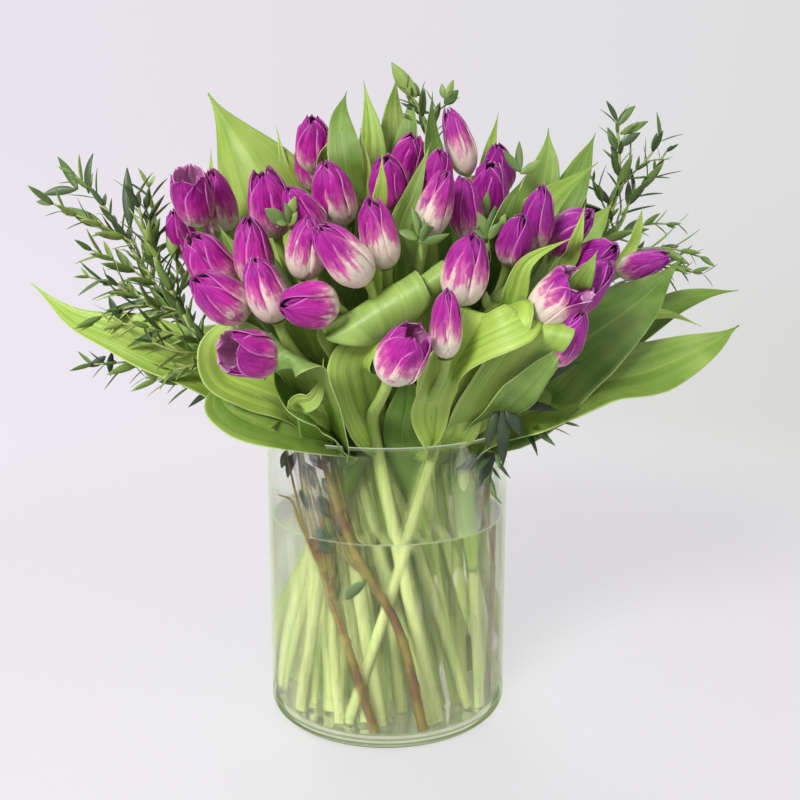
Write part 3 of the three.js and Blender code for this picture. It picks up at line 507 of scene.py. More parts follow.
BLOOMS = [
    Bloom("01", [-55, -22, 442], -90, 34, 46, 29, 0.1, "middle_left", 0.26),
    Bloom("02", [-36, -36, 442], -80, 40, 46, 24, 0, "middle_left", 0.26),
    Bloom("03", [-57, 16, 431], -108, 35, 46, 26, 0, "back_left", 0.20),
    Bloom("04", [-33, -82, 400], -110, 32, 50, 31, 0.1, "middle_left", 0.30),
    Bloom("05", [-79, -79, 393], -103, 33, 52, 31, 0.2, "middle_left", 0.20),
    Bloom("06", [-48, -104, 392], -123, 46, 46, 26, 0, "front_left", 0.26),
    Bloom("07", [-56, -125, 364], -74, 27, 46, 27, 0, "front_left", 0.42),
    Bloom("08", [-13, -146, 363], -138, 49, 53, 29, 0.1, "front_left", 0.46),
    Bloom("09", [0, -123, 371], -116, 29, 51, 26, 0.1, "front_left", 0.42),
    Bloom("10", [-140, -53, 401], -95, 37, 46, 28, 0.6, "left", 0.18),
    Bloom("11", [-126, -19, 397], -100, 34, 52, 27, 0.1, "left", 0.26),
    Bloom("12", [-145, 7, 386], -111, 31, 47, 29, 0.1, "left", 0.24),
    Bloom("13", [-156, -17, 377], -99, 41, 46, 24, 0, "left", 0.20),
    Bloom("14", [-113, -93, 355], -126, 42, 50, 32, 0.2, "low_left", 0.26),
    Bloom("15", [-96, -124, 339], -136, 56, 49, 31, 0.1, "low_left", 0.28),
    Bloom("16", [-90, -108, 358], -96, 27, 52, 27, 0.1, "low_left", 0.28),
    Bloom("17", [-73, -138, 337], -120, 32, 49, 27, 0.1, "low_left", 0.40),
    Bloom("18", [-36, -143, 348], -131, 88, 46, 31, 0, "front_left", 0.26),
    Bloom("19", [-75, -141, 312], -131, 79, 43, 30, 0.55, "low_left", 0.16),
    Bloom("20", [1, -159, 300], -54, 40, 46, 32, 0.35, "front_middle", 0.36),
    Bloom("21", [38, -158, 314], -90, 20, 48, 21, 0, "front_middle", 0.36),
    Bloom("22", [48, -143, 348], -72, 26, 50, 30, 0.1, "front_middle", 0.40),
    Bloom("23", [33, -72, 414], -81, 35, 46, 25, 0.1, "middle", 0.16),
    Bloom("24", [26, -116, 392], -64, 36, 52, 24, 0.1, "front_middle", 0.44),
    Bloom("25", [57, -98, 391], -106, 28, 46, 24, 0, "middle", 0.22),
    Bloom("26", [10, -10, 432], -69, 40, 46, 27, 0.1, "middle", 0.20),
    Bloom("27", [64, -16, 439], -146, 23, 54, 23, 0, "back_right", 0.38),
    Bloom("28", [74, -68, 408], -93, 41, 46, 27, 0.2, "middle", 0.12),
    Bloom("29", [90, -16, 428], -105, 46, 46, 24, 0, "right", 0.12),
    Bloom("30", [103, -100, 384], -89, 31, 49, 24, 0, "low_right", 0.14),
    Bloom("31", [84, -113, 375], -82, 48, 46, 24, 0, "low_right", 0.16),
    Bloom("32", [115, -79, 383], -46, 55, 46, 27, 0.1, "right", 0.12),
    Bloom("33", [139, -79, 370], -66, 71, 46, 25, 0.1, "right", 0.14),
    Bloom("34", [97, -136, 335], -38, 50, 46, 29, 0.75, "low_right", 0.50),
    Bloom("35", [121, -117, 341], -47, 48, 52, 27, 0.1, "low_right", 0.14),
    Bloom("36", [182, -25, 365], -45, 74, 46, 22, 0, "right", 0.16),
    Bloom("37", [113, -136, 307], -62, 38, 46, 22, 0, "low_right", 0.12),
    Bloom("38", [2, -76, 413], -94, 45, 46, 28, 0.1, "middle", 0.16),
    Bloom("39a", [-100, 66, 384], 140, 42, 49, 29, 0.1, "back_left"),
    Bloom("39b", [-82, 82, 388], 130, 42, 47, 28, 0, "back_left"),
    Bloom("40a", [-36, 92, 392], 100, 38, 50, 30, 0.2, "back_left"),
    Bloom("40b", [-12, 98, 391], 92, 40, 48, 28, 0, "back_left"),
    Bloom("40c", [-25, 110, 374], 96, 58, 48, 29, 0.1, "back_left"),
    Bloom("41a", [36, 94, 390], 80, 40, 50, 29, 0.1, "back_right"),
    Bloom("41b", [60, 89, 388], 72, 42, 48, 28, 0.1, "back_right"),
    Bloom("41c", [47, 109, 372], 76, 60, 48, 29, 0, "back_right"),
    Bloom("42a", [104, 68, 384], 42, 44, 49, 29, 0.1, "back_right"),
    Bloom("42b", [120, 50, 379], 36, 47, 48, 28, 0, "back_right"),
    Bloom("43a", [-6, 44, 422], 92, 18, 48, 28, 0, "back_left"),
    Bloom("43b", [14, 50, 418], 85, 20, 47, 28, 0.1, "back_right"),
]
print(len(BLOOMS), "blooms on", len({row.node for row in BLOOMS}), "nodes")

# %% [markdown]
# ## Petals
# A tulip has three outer petals and three inner ones. In a bud each outer petal wraps a little over
# the next, and the inner ones stand in the gaps with their tips between. A petal could be sculpted
# by hand, but fifty blooms need three hundred of them, so one formula makes each from its bloom's
# profile, with its own small lean, crease and tip drawn from a seeded list of random numbers.

# %% Petal forms
PETAL_ROWS = 25
PETAL_COLUMNS = 17
PETAL_THICKNESS = 0.7
OUTER_HALF_ANGLE = 64            # degrees to either side of a petal's middle
PROFILE_STEPS = 41
CLOSED_PROFILE = [               # height and girth along a bud, as shares
    (0, 0.12), (0.03, 0.44), (0.12, 0.76), (0.28, 0.98), (0.42, 1.0),
    (0.6, 0.89), (0.78, 0.72), (0.9, 0.5), (1, 0.2),
]
OPEN_PROFILE = [                 # the same for a bloom that has opened
    (0, 0.12), (0.03, 0.42), (0.12, 0.72), (0.3, 0.97), (0.46, 1.07),
    (0.64, 1.10), (0.8, 1.10), (0.92, 1.12), (1, 1.16),
]


def profile_girth(profile, height):
    places, girths = zip(*profile)
    return np.interp(height, places, girths)


def smooth_profile(opened):
    """Girth against height along the bud, smoothed so that no station of the profile shows."""
    height = np.linspace(0, 1, PROFILE_STEPS)
    closed = profile_girth(CLOSED_PROFILE, height)
    wide = profile_girth(OPEN_PROFILE, height)
    girth = closed + (wide - closed) * opened
    for _ in range(3):
        girth[1:-1] = (girth[:-2] + 2 * girth[1:-1] + girth[2:]) / 4
    return height, girth


def petal_span(u):
    """How wide a petal is, from its narrow claw over its full width to its rounded tip."""
    widening = 0.55 + 0.45 * smoothstep(0, 0.3, u)
    closing = np.sqrt(np.clip(1 - (np.clip(u - 0.56, 0, 1) / 0.445) ** 2.4, 0.0012, 1))
    return widening * closing


def faded_wave(size, phase, u, low, high):
    """A wave of the petal that fades in between two heights."""
    return size * np.sin(phase) * smoothstep(low, high, u)


# %% One petal
def petal(bloom, centre, is_inner, draw):
    """The middle of a petal on an upright axis; the centre is its direction in degrees."""
    u, v = np.meshgrid(np.linspace(0, 1, PETAL_ROWS), np.linspace(-1, 1, PETAL_COLUMNS), indexing="ij")
    height, girth = smooth_profile(max(0, bloom.opened + draw.uniform(-0.05, 0.06)))
    reach = np.interp(u, height, girth) * bloom.girth / 2
    half_angle = math.radians(OUTER_HALF_ANGLE * (0.92 if is_inner else 1.0))
    angle = math.radians(centre) + v * half_angle * petal_span(u)
    overlap = -0.05 * v * smoothstep(0.08, 0.4, u)
    crease = -0.05 * np.exp(-((v / 0.13) ** 2)) * smoothstep(0.1, 0.5, u)
    bend = draw.uniform(-1.2, 1.2) * u
    ribs = faded_wave(0.030, v * draw.uniform(7, 11) + draw.uniform(0, 6) + bend, u, 0.1, 0.6)
    ribs = ribs + faded_wave(0.022, v * draw.uniform(15, 21) + draw.uniform(0, 6) - 2 * bend, u, 0.2, 0.7)
    ribs = ribs + faded_wave(0.022, u * draw.uniform(7, 12) + 2 * v + draw.uniform(0, 6), u, 0.2, 0.7)
    ribs = ribs + faded_wave(0.010, u * draw.uniform(15, 22) - 5 * v + draw.uniform(0, 6), u, 0.3, 0.7)
    flare = draw.uniform(-0.02, 0.05) * smoothstep(0.7, 1, u) + 0.10 * bloom.opened * v * v * u
    flare = flare + draw.uniform(-0.02, 0.07) * np.abs(v) ** 3 * smoothstep(0.5, 0.9, u)
    tucked = 0.95 - 0.45 * max(0, 1 - 2 * bloom.opened) * smoothstep(0.82, 1, u)
    reach = reach * ((tucked if is_inner else 1.0) * (1 + overlap + crease + ribs) + flare)
    top = draw.uniform(0.94, 1.0)
    wave = 0.022 * np.sin(v * 5 + draw.uniform(0, 6)) + 0.012 * np.sin(v * 13 + draw.uniform(0, 6))
    wave = wave * smoothstep(0.6, 1, u)
    rise = bloom.long * (u * top + wave)
    return np.stack([reach * np.cos(angle), reach * np.sin(angle), rise], axis=-1)


def petal_thickness():
    """Thickest along the middle near the base, thin at the margin and the tip."""
    v = np.abs(np.linspace(-1, 1, PETAL_COLUMNS))[None, :]
    u = np.linspace(0, 1, PETAL_ROWS)[:, None]
    return PETAL_THICKNESS * (1 - 0.6 * v ** 3) * (1 - 0.5 * u ** 4)


# %% A rod for the heart of a bloom
ROD_SIDES = 8


def rod(points, radii):
    """A round rod along a few points, with closed ends, for a stamen or a pistil."""
    points = np.asarray(points, float)
    angles = np.linspace(0, 2 * math.pi, ROD_SIDES, endpoint=False)
    along = points[-1] - points[0]
    along /= np.linalg.norm(along)
    side = np.cross(along, [0.3, 0.9, 0.2])
    side /= np.linalg.norm(side)
    circle = np.outer(np.cos(angles), side) + np.outer(np.sin(angles), np.cross(along, side))
    rings = [point + radius * circle for point, radius in zip(points, radii)]
    foot = len(points) * ROD_SIDES
    head = foot + 1
    last = foot - ROD_SIDES
    faces = []
    for low in range(0, last, ROD_SIDES):
        for k in range(ROD_SIDES):
            on = (k + 1) % ROD_SIDES
            faces.append([low + k, low + on, low + ROD_SIDES + on, low + ROD_SIDES + k])
    for k in range(ROD_SIDES):
        on = (k + 1) % ROD_SIDES
        faces.append([foot, on, k, foot])
        faces.append([head, last + k, last + on, head])
    return np.concatenate(rings + [points[:1], points[-1:]]), np.array(faces)


def turned_to(axis, points, at):
    """Points on an upright axis, leaned to a bloom's axis and set on its stem."""
    turn = np.array(Vector((0, 0, 1)).rotation_difference(Vector(axis)).to_matrix())
    return points @ turn.T + at


# %% [markdown]
# ## Petal finish
# The petals are a strong pinkish purple, deeper in the folds and towards the middle line, and run
# out in uneven feathered streaks into a cream white base and paler margins. Pale lengthwise streaks
# on the purple are painted highlights, for the sheen of light on the ribbed petals. The inner faces
# are paler, most in open blooms: partly the petals' own paler inside, partly painted light that lifts
# the shade inside the cup and between the petals. The pattern follows the petal, so it reads the
# petal's own UV map: V runs from base to tip, U from side to side. A painted image could show the
# same, but noise stretched along V gives the feathering and the fine lengthwise veins afresh for each
# petal. Values stored on the mesh say how much is cream, how far the bloom has opened, and how violet
# it is: the blooms at the right are a cooler purple than those at the left.

# %% Petal material
PURPLE = srgb(150, 4, 122)
PURPLE_LIGHT = srgb(206, 40, 164)
PURPLE_DEEP = srgb(98, 0, 88)
VIOLET = srgb(138, 8, 132)
VIOLET_RIGHT = srgb(132, 30, 142)
GLINT = srgb(216, 98, 182)
PALE_MARGIN = srgb(224, 146, 208)
PALE_AND_LIT_INSIDE = srgb(232, 176, 214)
PINK = srgb(200, 108, 156)
CREAM = srgb(224, 206, 190)
CREAM_GREEN = srgb(205, 205, 165)

petal_material, tree, shader = new_material("tulip_petal")
uv = add_node(tree, "ShaderNodeUVMap", uv_map="blade").outputs["UV"]
parts = add_node(tree, "ShaderNodeSeparateXYZ", links={"Vector": uv})
u_side, v_long = parts.outputs["X"], parts.outputs["Y"]
tone = attribute(tree, "tone")
shift = add_node(tree, "ShaderNodeCombineXYZ", links={"X": tone, "Z": tone}).outputs["Vector"]
moved = add_node(tree, "ShaderNodeVectorMath", {}, {0: uv, 1: shift}, operation="ADD").outputs["Vector"]
streaks = noise(tree, stretched(tree, moved, (26, 1.6, 9)), 1.0, 3, 0.6)
veins = noise(tree, stretched(tree, moved, (90, 3.0, 9)), 1.0, 2, 0.5)
clouds = noise(tree, stretched(tree, moved, (4.5, 3, 9)), 1.0, 3, 0.55)
from_middle = math_node(tree, "ABSOLUTE", math_node(tree, "SUBTRACT", u_side, 0.5))
margin_rise = math_node(tree, "MULTIPLY", math_node(tree, "POWER", from_middle, 2.0), 0.9)
feather = math_node(tree, "MULTIPLY", math_node(tree, "SUBTRACT", streaks, 0.5), 0.24)
patches = noise(tree, stretched(tree, moved, (9, 5, 9)), 1.0, 3, 0.6)
mottle = math_node(tree, "MULTIPLY", math_node(tree, "SUBTRACT", patches, 0.5), 0.7)
feather = math_node(tree, "ADD", feather, mottle)
edge = math_node(tree, "ADD", math_node(tree, "ADD", attribute(tree, "cream"), margin_rise), feather)
above = math_node(tree, "SUBTRACT", v_long, edge)
pink_share = add_node(tree, "ShaderNodeMapRange", {"From Min": -0.12, "From Max": 0.10}, {"Value": above},
                      interpolation_type="SMOOTHSTEP").outputs["Result"]
purple_share = add_node(tree, "ShaderNodeMapRange", {"From Min": 0.0, "From Max": 0.30}, {"Value": above},
                        interpolation_type="SMOOTHSTEP").outputs["Result"]
body = mix_colours(tree, ramp(tree, clouds, [(0.38, grey(0)), (0.62, grey(1))]), PURPLE, PURPLE_LIGHT)
tip_share = math_node(tree, "MULTIPLY", ramp(tree, v_long, [(0.45, grey(0)), (0.9, grey(1))]), 0.55)
body = mix_colours(tree, tip_share, body, VIOLET)
violet_share = math_node(tree, "MULTIPLY", attribute(tree, "violet"), 0.5)
body = mix_colours(tree, violet_share, body, VIOLET_RIGHT)
flecks = noise(tree, stretched(tree, moved, (14, 4, 9)), 1.0, 3, 0.65)
body = mix_colours(tree, ramp(tree, flecks, [(0.5, grey(0)), (0.72, grey(0.5))]), body, PURPLE_LIGHT)
deep_share = math_node(tree, "MULTIPLY", ramp(tree, veins, [(0.42, grey(0)), (0.72, grey(1))]), 0.5)
body = mix_colours(tree, deep_share, body, PURPLE_DEEP)
# Painted highlights: pale lengthwise streaks for the sheen of light on the ribbed petal.
glints = noise(tree, stretched(tree, moved, (44, 2.6, 5)), 1.0, 3, 0.6)
glint_share = ramp(tree, glints, [(0.54, grey(0)), (0.74, grey(0.55))])
body = mix_colours(tree, glint_share, body, GLINT)
middle_line = ramp(tree, from_middle, [(0.0, grey(0.4)), (0.06, grey(0))])
body = mix_colours(tree, middle_line, body, PURPLE_DEEP)
margin = ramp(tree, from_middle, [(0.45, grey(0)), (0.5, grey(0.75))])
body = mix_colours(tree, margin, body, PALE_MARGIN)
pale = mix_colours(tree, ramp(tree, v_long, [(0.0, grey(0.9)), (0.16, grey(0))]), CREAM, CREAM_GREEN)
colour = mix_colours(tree, purple_share, mix_colours(tree, pink_share, pale, PINK), body)
# The inner faces turn paler, most in open blooms: partly their own paler colour, partly painted light that
# lifts the shade inside the cup and between the petals.
inside_light_share = math_node(tree, "MULTIPLY", attribute(tree, "opened"), 0.6)
inside = math_node(tree, "MULTIPLY", attribute(tree, "under"), math_node(tree, "ADD", inside_light_share, 0.15))
colour = mix_colours(tree, inside, colour, PALE_AND_LIT_INSIDE)
tree.links.new(colour, shader.inputs["Base Color"])
shader.inputs["Roughness"].default_value = 0.42
shader.inputs["Specular IOR Level"].default_value = 0.28
shader.inputs["Sheen Weight"].default_value = 0.06
shader.inputs["Sheen Roughness"].default_value = 0.4
shader.inputs["Subsurface Weight"].default_value = 0.3
shader.inputs["Subsurface Radius"].default_value = (1.0, 0.3, 0.8)
shader.inputs["Subsurface Scale"].default_value = 0.0012
crumple = noise(tree, stretched(tree, moved, (12, 5, 9)), 1.0, 3, 0.6)
relief = math_node(tree, "ADD", veins, math_node(tree, "MULTIPLY", streaks, 0.8))
relief = math_node(tree, "ADD", relief, math_node(tree, "MULTIPLY", crumple, 1.6))
tree.links.new(bump(tree, relief, 0.5, 0.0009), shader.inputs["Normal"])
print("petal finish:", len(tree.nodes), "nodes")

# %% Stamen and pistil material
heart_material, tree, shader = new_material("stamen_and_pistil")
place = add_node(tree, "ShaderNodeTexCoord").outputs["Object"]
speck = noise(tree, place, 900, 3)
tone = attribute(tree, "tone")
dark = mix_colours(tree, speck, srgb(40, 22, 48), srgb(92, 60, 80))
light = mix_colours(tree, speck, srgb(196, 205, 130), srgb(225, 225, 170))
tree.links.new(mix_colours(tree, tone, dark, light), shader.inputs["Base Color"])
shader.inputs["Roughness"].default_value = 0.7
tree.links.new(bump(tree, speck, 0.4, 0.0003), shader.inputs["Normal"])
print("finish of stamens and pistils:", len(tree.nodes), "nodes")

# %% The shape of a bloom
random_petal = random.Random(7)
VIOLET_RISE = (20, 110)          # millimetres to the right over which the blooms turn violet


def bloom_shape(bloom):
    """Six petals round the bloom's axis, with the values that their finish reads."""
    parts = []
    turn = random_petal.uniform(0, 120)
    tone_value = random_petal.uniform(0, 9)
    for third in range(3):
        for is_inner in (False, True):
            centre = turn + 120 * third + (60 if is_inner else 0)
            middle = turned_to(bloom.axis, petal(bloom, centre, is_inner, random_petal), bloom.at)
            cream = bloom.cream + random_petal.uniform(-0.05, 0.05)
            values = {"tone": tone_value + third + 0.5 * is_inner, "cream": cream, "opened": bloom.opened,
                      "violet": smoothstep(*VIOLET_RISE, bloom.at[0])}
            parts.append(blade(middle, petal_thickness(), values))
    return merged(parts)


def heart_shape(bloom):
    """Six dark stamens round a pale pistil."""
    long = bloom.long * 0.42
    rods = [(rod([[0, 0, 3], [0, 0, long * 0.8], [0, 0, long]], [2.4, 2.1, 2.9]), 1.0)]
    for k in range(6):
        angle = math.radians(60 * k + 12)
        out = np.array([math.cos(angle), math.sin(angle), 0])
        foot, head = out * 3.4 + [0, 0, 2], out * 6.2 + [0, 0, long * 0.62]
        rods.append((rod([foot, head], [0.7, 0.6]), 1.0))
        anther = [head, head + out * 0.6 + [0, 0, 6], head + out + [0, 0, 11]]
        rods.append((rod(anther, [1.3, 1.6, 0.6]), 0.0))
    shapes = []
    for (points, faces), tone_value in rods:
        points = turned_to(bloom.axis, points, bloom.at)
        uv = np.zeros((len(points), 2))
        shapes.append((points, faces, uv, {"tone": np.full(len(points), tone_value)}))
    return merged(shapes)


# %% Make the blooms
OPEN_ENOUGH = 0.5                # a bloom this far open shows its stamens

for node in sorted({row.node for row in BLOOMS}):
    rows = [row for row in BLOOMS if row.node == node]
    shape = merged([bloom_shape(row) for row in rows])
    new_piece(node.replace("bloom", "tulip"), shape, petal_material, "tulip_petal", node)
    for row in rows:
        if row.opened > OPEN_ENOUGH:
            new_piece(node.replace("bloom", "tulip_heart"), heart_shape(row), heart_material, "tulip_petal")
print("petals:", 6 * len(BLOOMS))

# %% [markdown]
# ## The stems' paths
# The stems of a hand-tied bouquet spiral. Fifty routes could be drawn by hand, but a florist's rule
# gives them all: seen from above, the blooms' plan shrinks to a tight waist at the rim, where
# neighbours are pushed apart until they have room, and opens again, turned, towards the feet on the
# glass floor. Above the waist each stem bends to meet its bloom. Only the four that are plainly seen
# in front have places of their own.

# %% Stem paths
STEM_RADIUS = 4.6
WAIST_HEIGHT = 238               # just under the rim
WAIST_CENTRE = np.array([8, -4])
WAIST_SHRINK = 0.31              # the blooms' plan shrinks to this share at the waist
WAIST_SPACING = 16.5
OWN_PLACE = 0.32                 # how far a stem keeps its own place beside its bunch's middle
FOOT_SPREAD = 1.28               # below the waist the plan opens again by this much
FOOT_TURN = math.radians(64)     # and turns, which makes the spiral
FOOT_LIMIT = 79                  # no foot stands further out than this
STEM_HANDLE = 0.3                # the share of its rise that a stem runs on before it bends
FOOT_JITTER = 9
SETTLE_UPRIGHT = 0.5             # a stem comes up a little straighter than its bloom leans
SPACING_ROUNDS = 60
PLACED_STEMS = {                 # from above, where the stems seen in front cross the rim and end
    "20": ([-9, -72], [36, -64]),
    "22": ([37, -74], [-29, -66]),
    "35": ([58, -56], [76, -44]),
    "17": ([-32, -62], [-71, -48]),
}
FOOT_CLEARANCE = 0.3             # between a foot and the glass, and between a stem and its bloom


def waist_plan():
    """Where each stem passes the waist, seen from above: the blooms' plan shrunk, then pushed apart."""
    plan = [row.at[:2] * WAIST_SHRINK for row in BLOOMS]
    for _ in range(SPACING_ROUNDS):
        for i in range(len(plan)):
            for j in range(i + 1, len(plan)):
                apart = plan[j] - plan[i]
                distance = np.linalg.norm(apart)
                if distance < WAIST_SPACING:
                    push = apart / distance * (WAIST_SPACING - distance) / 2
                    plan[j] = plan[j] + push
                    plan[i] = plan[i] - push
    return np.array(plan) - np.mean(plan, axis=0)


class Stem:
    """One stem: straight from its foot to the waist, then a curve that arrives along its bloom's axis."""

    def __init__(self, index, plan):
        bloom = BLOOMS[index]
        bunch = np.mean([p for p, row in zip(plan, BLOOMS) if row.bunch == bloom.bunch], axis=0)
        spot = plan[index] + (bunch - plan[index]) * (1 - OWN_PLACE) + WAIST_CENTRE
        jitter = [random_foot.uniform(-FOOT_JITTER, FOOT_JITTER) for _ in range(2)]
        x, y = plan[index] * FOOT_SPREAD
        turned_plan = np.array([
            x * math.cos(FOOT_TURN) - y * math.sin(FOOT_TURN),
            x * math.sin(FOOT_TURN) + y * math.cos(FOOT_TURN),
        ])
        turned_plan += jitter
        if bloom.number in PLACED_STEMS:
            spot, turned_plan = (np.array(place, float) for place in PLACED_STEMS[bloom.number])
        self.waist = np.array([*spot, WAIST_HEIGHT])
        turned_plan *= min(1, FOOT_LIMIT / np.linalg.norm(turned_plan))
        foot = np.array([*turned_plan, GLASS_BASE + FOOT_CLEARANCE])
        rise = self.waist - foot
        foot[2] += STEM_RADIUS * np.linalg.norm(rise[:2]) / np.linalg.norm(rise)
        self.foot = foot
        self.top = bloom.at - bloom.axis * FOOT_CLEARANCE
        upward = (self.waist - foot) / np.linalg.norm(self.waist - foot)
        rise = np.linalg.norm(self.top - self.waist)
        self.leave = self.waist + upward * rise * STEM_HANDLE
        arriving = bloom.axis + np.array([0, 0, SETTLE_UPRIGHT])
        self.arrive = self.top - arriving / np.linalg.norm(arriving) * rise * STEM_HANDLE

    def points(self, lower=18, upper=30):
        """The whole line of the stem, with so many points below the waist and above it."""
        low = self.foot + np.linspace(0, 1, lower, endpoint=False)[:, None] * (self.waist - self.foot)
        t = np.linspace(0, 1, upper)[:, None]
        high = (1 - t) ** 3 * self.waist + 3 * (1 - t) ** 2 * t * self.leave
        high = high + 3 * (1 - t) * t * t * self.arrive + t ** 3 * self.top
        return np.concatenate([low, high])

    def at_height(self, height):
        """Where the stem is at a height, and which way it runs there."""
        path = self.points(60, 120)
        stop = np.argmax(path[:, 2] > height)
        below, above = path[stop - 1], path[stop]
        share = (height - below[2]) / (above[2] - below[2])
        return below + share * (above - below), (above - below) / np.linalg.norm(above - below)


PLAN = waist_plan()
random_foot = random.Random(4)
STEMS = {row.number: Stem(index, PLAN) for index, row in enumerate(BLOOMS)}
print("stems from", round(min(s.foot[2] for s in STEMS.values()), 1), "mm above the table")

# %% [markdown]
# ## Stem and leaf finish
# Tulip green is never one green. The stems are pale yellow-green, palest where they stand in water,
# with faint lengthwise streaks. The leaves have close parallel veins that meet at the tip, a fresh
# mid green above and a duller bluish bloom beneath, with a thin pale margin and soft blotches. The
# stems' streaks read the place in space, stretched upright. The leaves' veins read their UV map,
# because they have to follow every bend and roll of the blade.

# %% Stem material
stem_material, tree, shader = new_material("tulip_stem")
place = add_node(tree, "ShaderNodeTexCoord").outputs["Object"]
height = add_node(tree, "ShaderNodeSeparateXYZ", links={"Vector": place}).outputs["Z"]
tone = attribute(tree, "tone")
long_noise = noise(tree, stretched(tree, place, (420, 420, 9)), 1.0, 2)
cloud = noise(tree, place, 28, 2)
in_water = mix_colours(tree, tone, srgb(138, 160, 76), srgb(190, 197, 134))
in_air = mix_colours(tree, tone, srgb(96, 132, 50), srgb(158, 182, 90))
share = add_node(tree, "ShaderNodeMapRange", {"From Min": 0.15, "From Max": 0.27}, {"Value": height},
                 interpolation_type="SMOOTHSTEP").outputs["Result"]
colour = mix_colours(tree, share, in_water, in_air)
streak = math_node(tree, "MULTIPLY", ramp(tree, long_noise, [(0.4, grey(0)), (0.75, grey(1))]), 0.35)
colour = mix_colours(tree, streak, colour, srgb(104, 140, 58))
blotch = math_node(tree, "MULTIPLY", ramp(tree, cloud, [(0.5, grey(0)), (0.8, grey(1))]), 0.4)
colour = mix_colours(tree, blotch, colour, srgb(196, 196, 120))
tree.links.new(colour, shader.inputs["Base Color"])
shader.inputs["Roughness"].default_value = 0.45
shader.inputs["Specular IOR Level"].default_value = 0.35
tree.links.new(bump(tree, long_noise, 0.3, 0.0005), shader.inputs["Normal"])
print("stem finish:", len(tree.nodes), "nodes")

# %% Leaf material
leaf_material, tree, shader = new_material("tulip_leaf")
uv = add_node(tree, "ShaderNodeUVMap", uv_map="blade").outputs["UV"]
parts = add_node(tree, "ShaderNodeSeparateXYZ", links={"Vector": uv})
u_side, v_long = parts.outputs["X"], parts.outputs["Y"]
tone = attribute(tree, "tone")
place = add_node(tree, "ShaderNodeTexCoord").outputs["Object"]
apart = math_node(tree, "MULTIPLY", tone, 7)
shift = add_node(tree, "ShaderNodeCombineXYZ", links={"Z": apart}).outputs["Vector"]
moved = add_node(tree, "ShaderNodeVectorMath", {}, {0: uv, 1: shift}, operation="ADD").outputs["Vector"]
veins = noise(tree, stretched(tree, moved, (70, 1.2, 3)), 1.0, 2, 0.6)
broad = noise(tree, stretched(tree, moved, (7, 1.4, 3)), 1.0, 2)
cloud = noise(tree, place, 22, 3)
# Each leaf's tone sets its green from dark to bright: partly its own green, partly painted shade and light,
# dark for leaves that lie in shadow and bright for those in the light.
fresh = mix_colours(tree, tone, srgb(58, 94, 16), srgb(172, 200, 86))
darker = ramp(tree, broad, [(0.3, grey(0)), (0.75, grey(0.55))])
colour = mix_colours(tree, darker, fresh, srgb(66, 106, 20))
lighter = ramp(tree, cloud, [(0.45, grey(0)), (0.8, grey(0.45))])
colour = mix_colours(tree, lighter, colour, srgb(182, 206, 116))
room = ramp(tree, v_long, [(0.62, grey(1)), (0.9, grey(0))])
fine = math_node(tree, "MULTIPLY", ramp(tree, veins, [(0.45, grey(0)), (0.7, grey(1))]), 0.30)
fine = math_node(tree, "MULTIPLY", fine, room)
colour = mix_colours(tree, fine, colour, srgb(56, 92, 30))
under_share = math_node(tree, "MULTIPLY", attribute(tree, "under"), 0.25)
colour = mix_colours(tree, under_share, colour, srgb(124, 150, 102))
from_middle = math_node(tree, "ABSOLUTE", math_node(tree, "SUBTRACT", u_side, 0.5))
midrib = ramp(tree, from_middle, [(0.0, grey(0.16)), (0.03, grey(0))])
colour = mix_colours(tree, midrib, colour, srgb(184, 206, 122))
margin = ramp(tree, from_middle, [(0.475, grey(0)), (0.5, grey(0.7))])
margin = math_node(tree, "MULTIPLY", margin, room)
colour = mix_colours(tree, margin, colour, srgb(196, 214, 138))
foot = ramp(tree, v_long, [(0.0, grey(0.8)), (0.25, grey(0))])
colour = mix_colours(tree, foot, colour, srgb(172, 198, 104))
tree.links.new(colour, shader.inputs["Base Color"])
shader.inputs["Roughness"].default_value = 0.42
shader.inputs["Specular IOR Level"].default_value = 0.36
relief = math_node(tree, "MULTIPLY", veins, room)
relief = math_node(tree, "ADD", relief, math_node(tree, "MULTIPLY", broad, 1.2))
tree.links.new(bump(tree, relief, 0.5, 0.001), shader.inputs["Normal"])
print("leaf finish:", len(tree.nodes), "nodes")

# %% [markdown]
# ## Stems by Geometry Nodes
# A stem is a round section carried along its path. A bevelled curve could do it, but the Curve to
# Mesh node also closes the ends and keeps a value for each path. The paths go in as one curve object
# for each bunch, with the girth at each point: a stem narrows a little towards its bloom and flares
# under it. The tree adds a random tone for each stem that its finish reads.


# %% Geometry Nodes helpers
def new_tree(name, inputs):
    """An empty tree with a geometry input and output, and named inputs for its sizes."""
    tree = bpy.data.node_groups.new(name, "GeometryNodeTree")
    tree.interface.new_socket("Geometry", in_out="INPUT", socket_type="NodeSocketGeometry")
    for label, kind in inputs.items():
        tree.interface.new_socket(label, in_out="INPUT", socket_type=kind)
    tree.interface.new_socket("Geometry", in_out="OUTPUT", socket_type="NodeSocketGeometry")
    entry = tree.nodes.new("NodeGroupInput")
    return tree, entry.outputs


def close_tree(tree, geometry, material_socket):
    """Ends a tree with smooth shading, real geometry instead of instances, and its material."""
    smooth = add_node(tree, "GeometryNodeSetShadeSmooth", links={"Geometry": geometry})
    real = add_node(tree, "GeometryNodeRealizeInstances", links={"Geometry": smooth.outputs["Geometry"]})
    painted = add_node(tree, "GeometryNodeSetMaterial",
                       links={"Geometry": real.outputs["Geometry"], "Material": material_socket})
    leave = tree.nodes.new("NodeGroupOutput")
    tree.links.new(painted.outputs["Geometry"], leave.inputs["Geometry"])


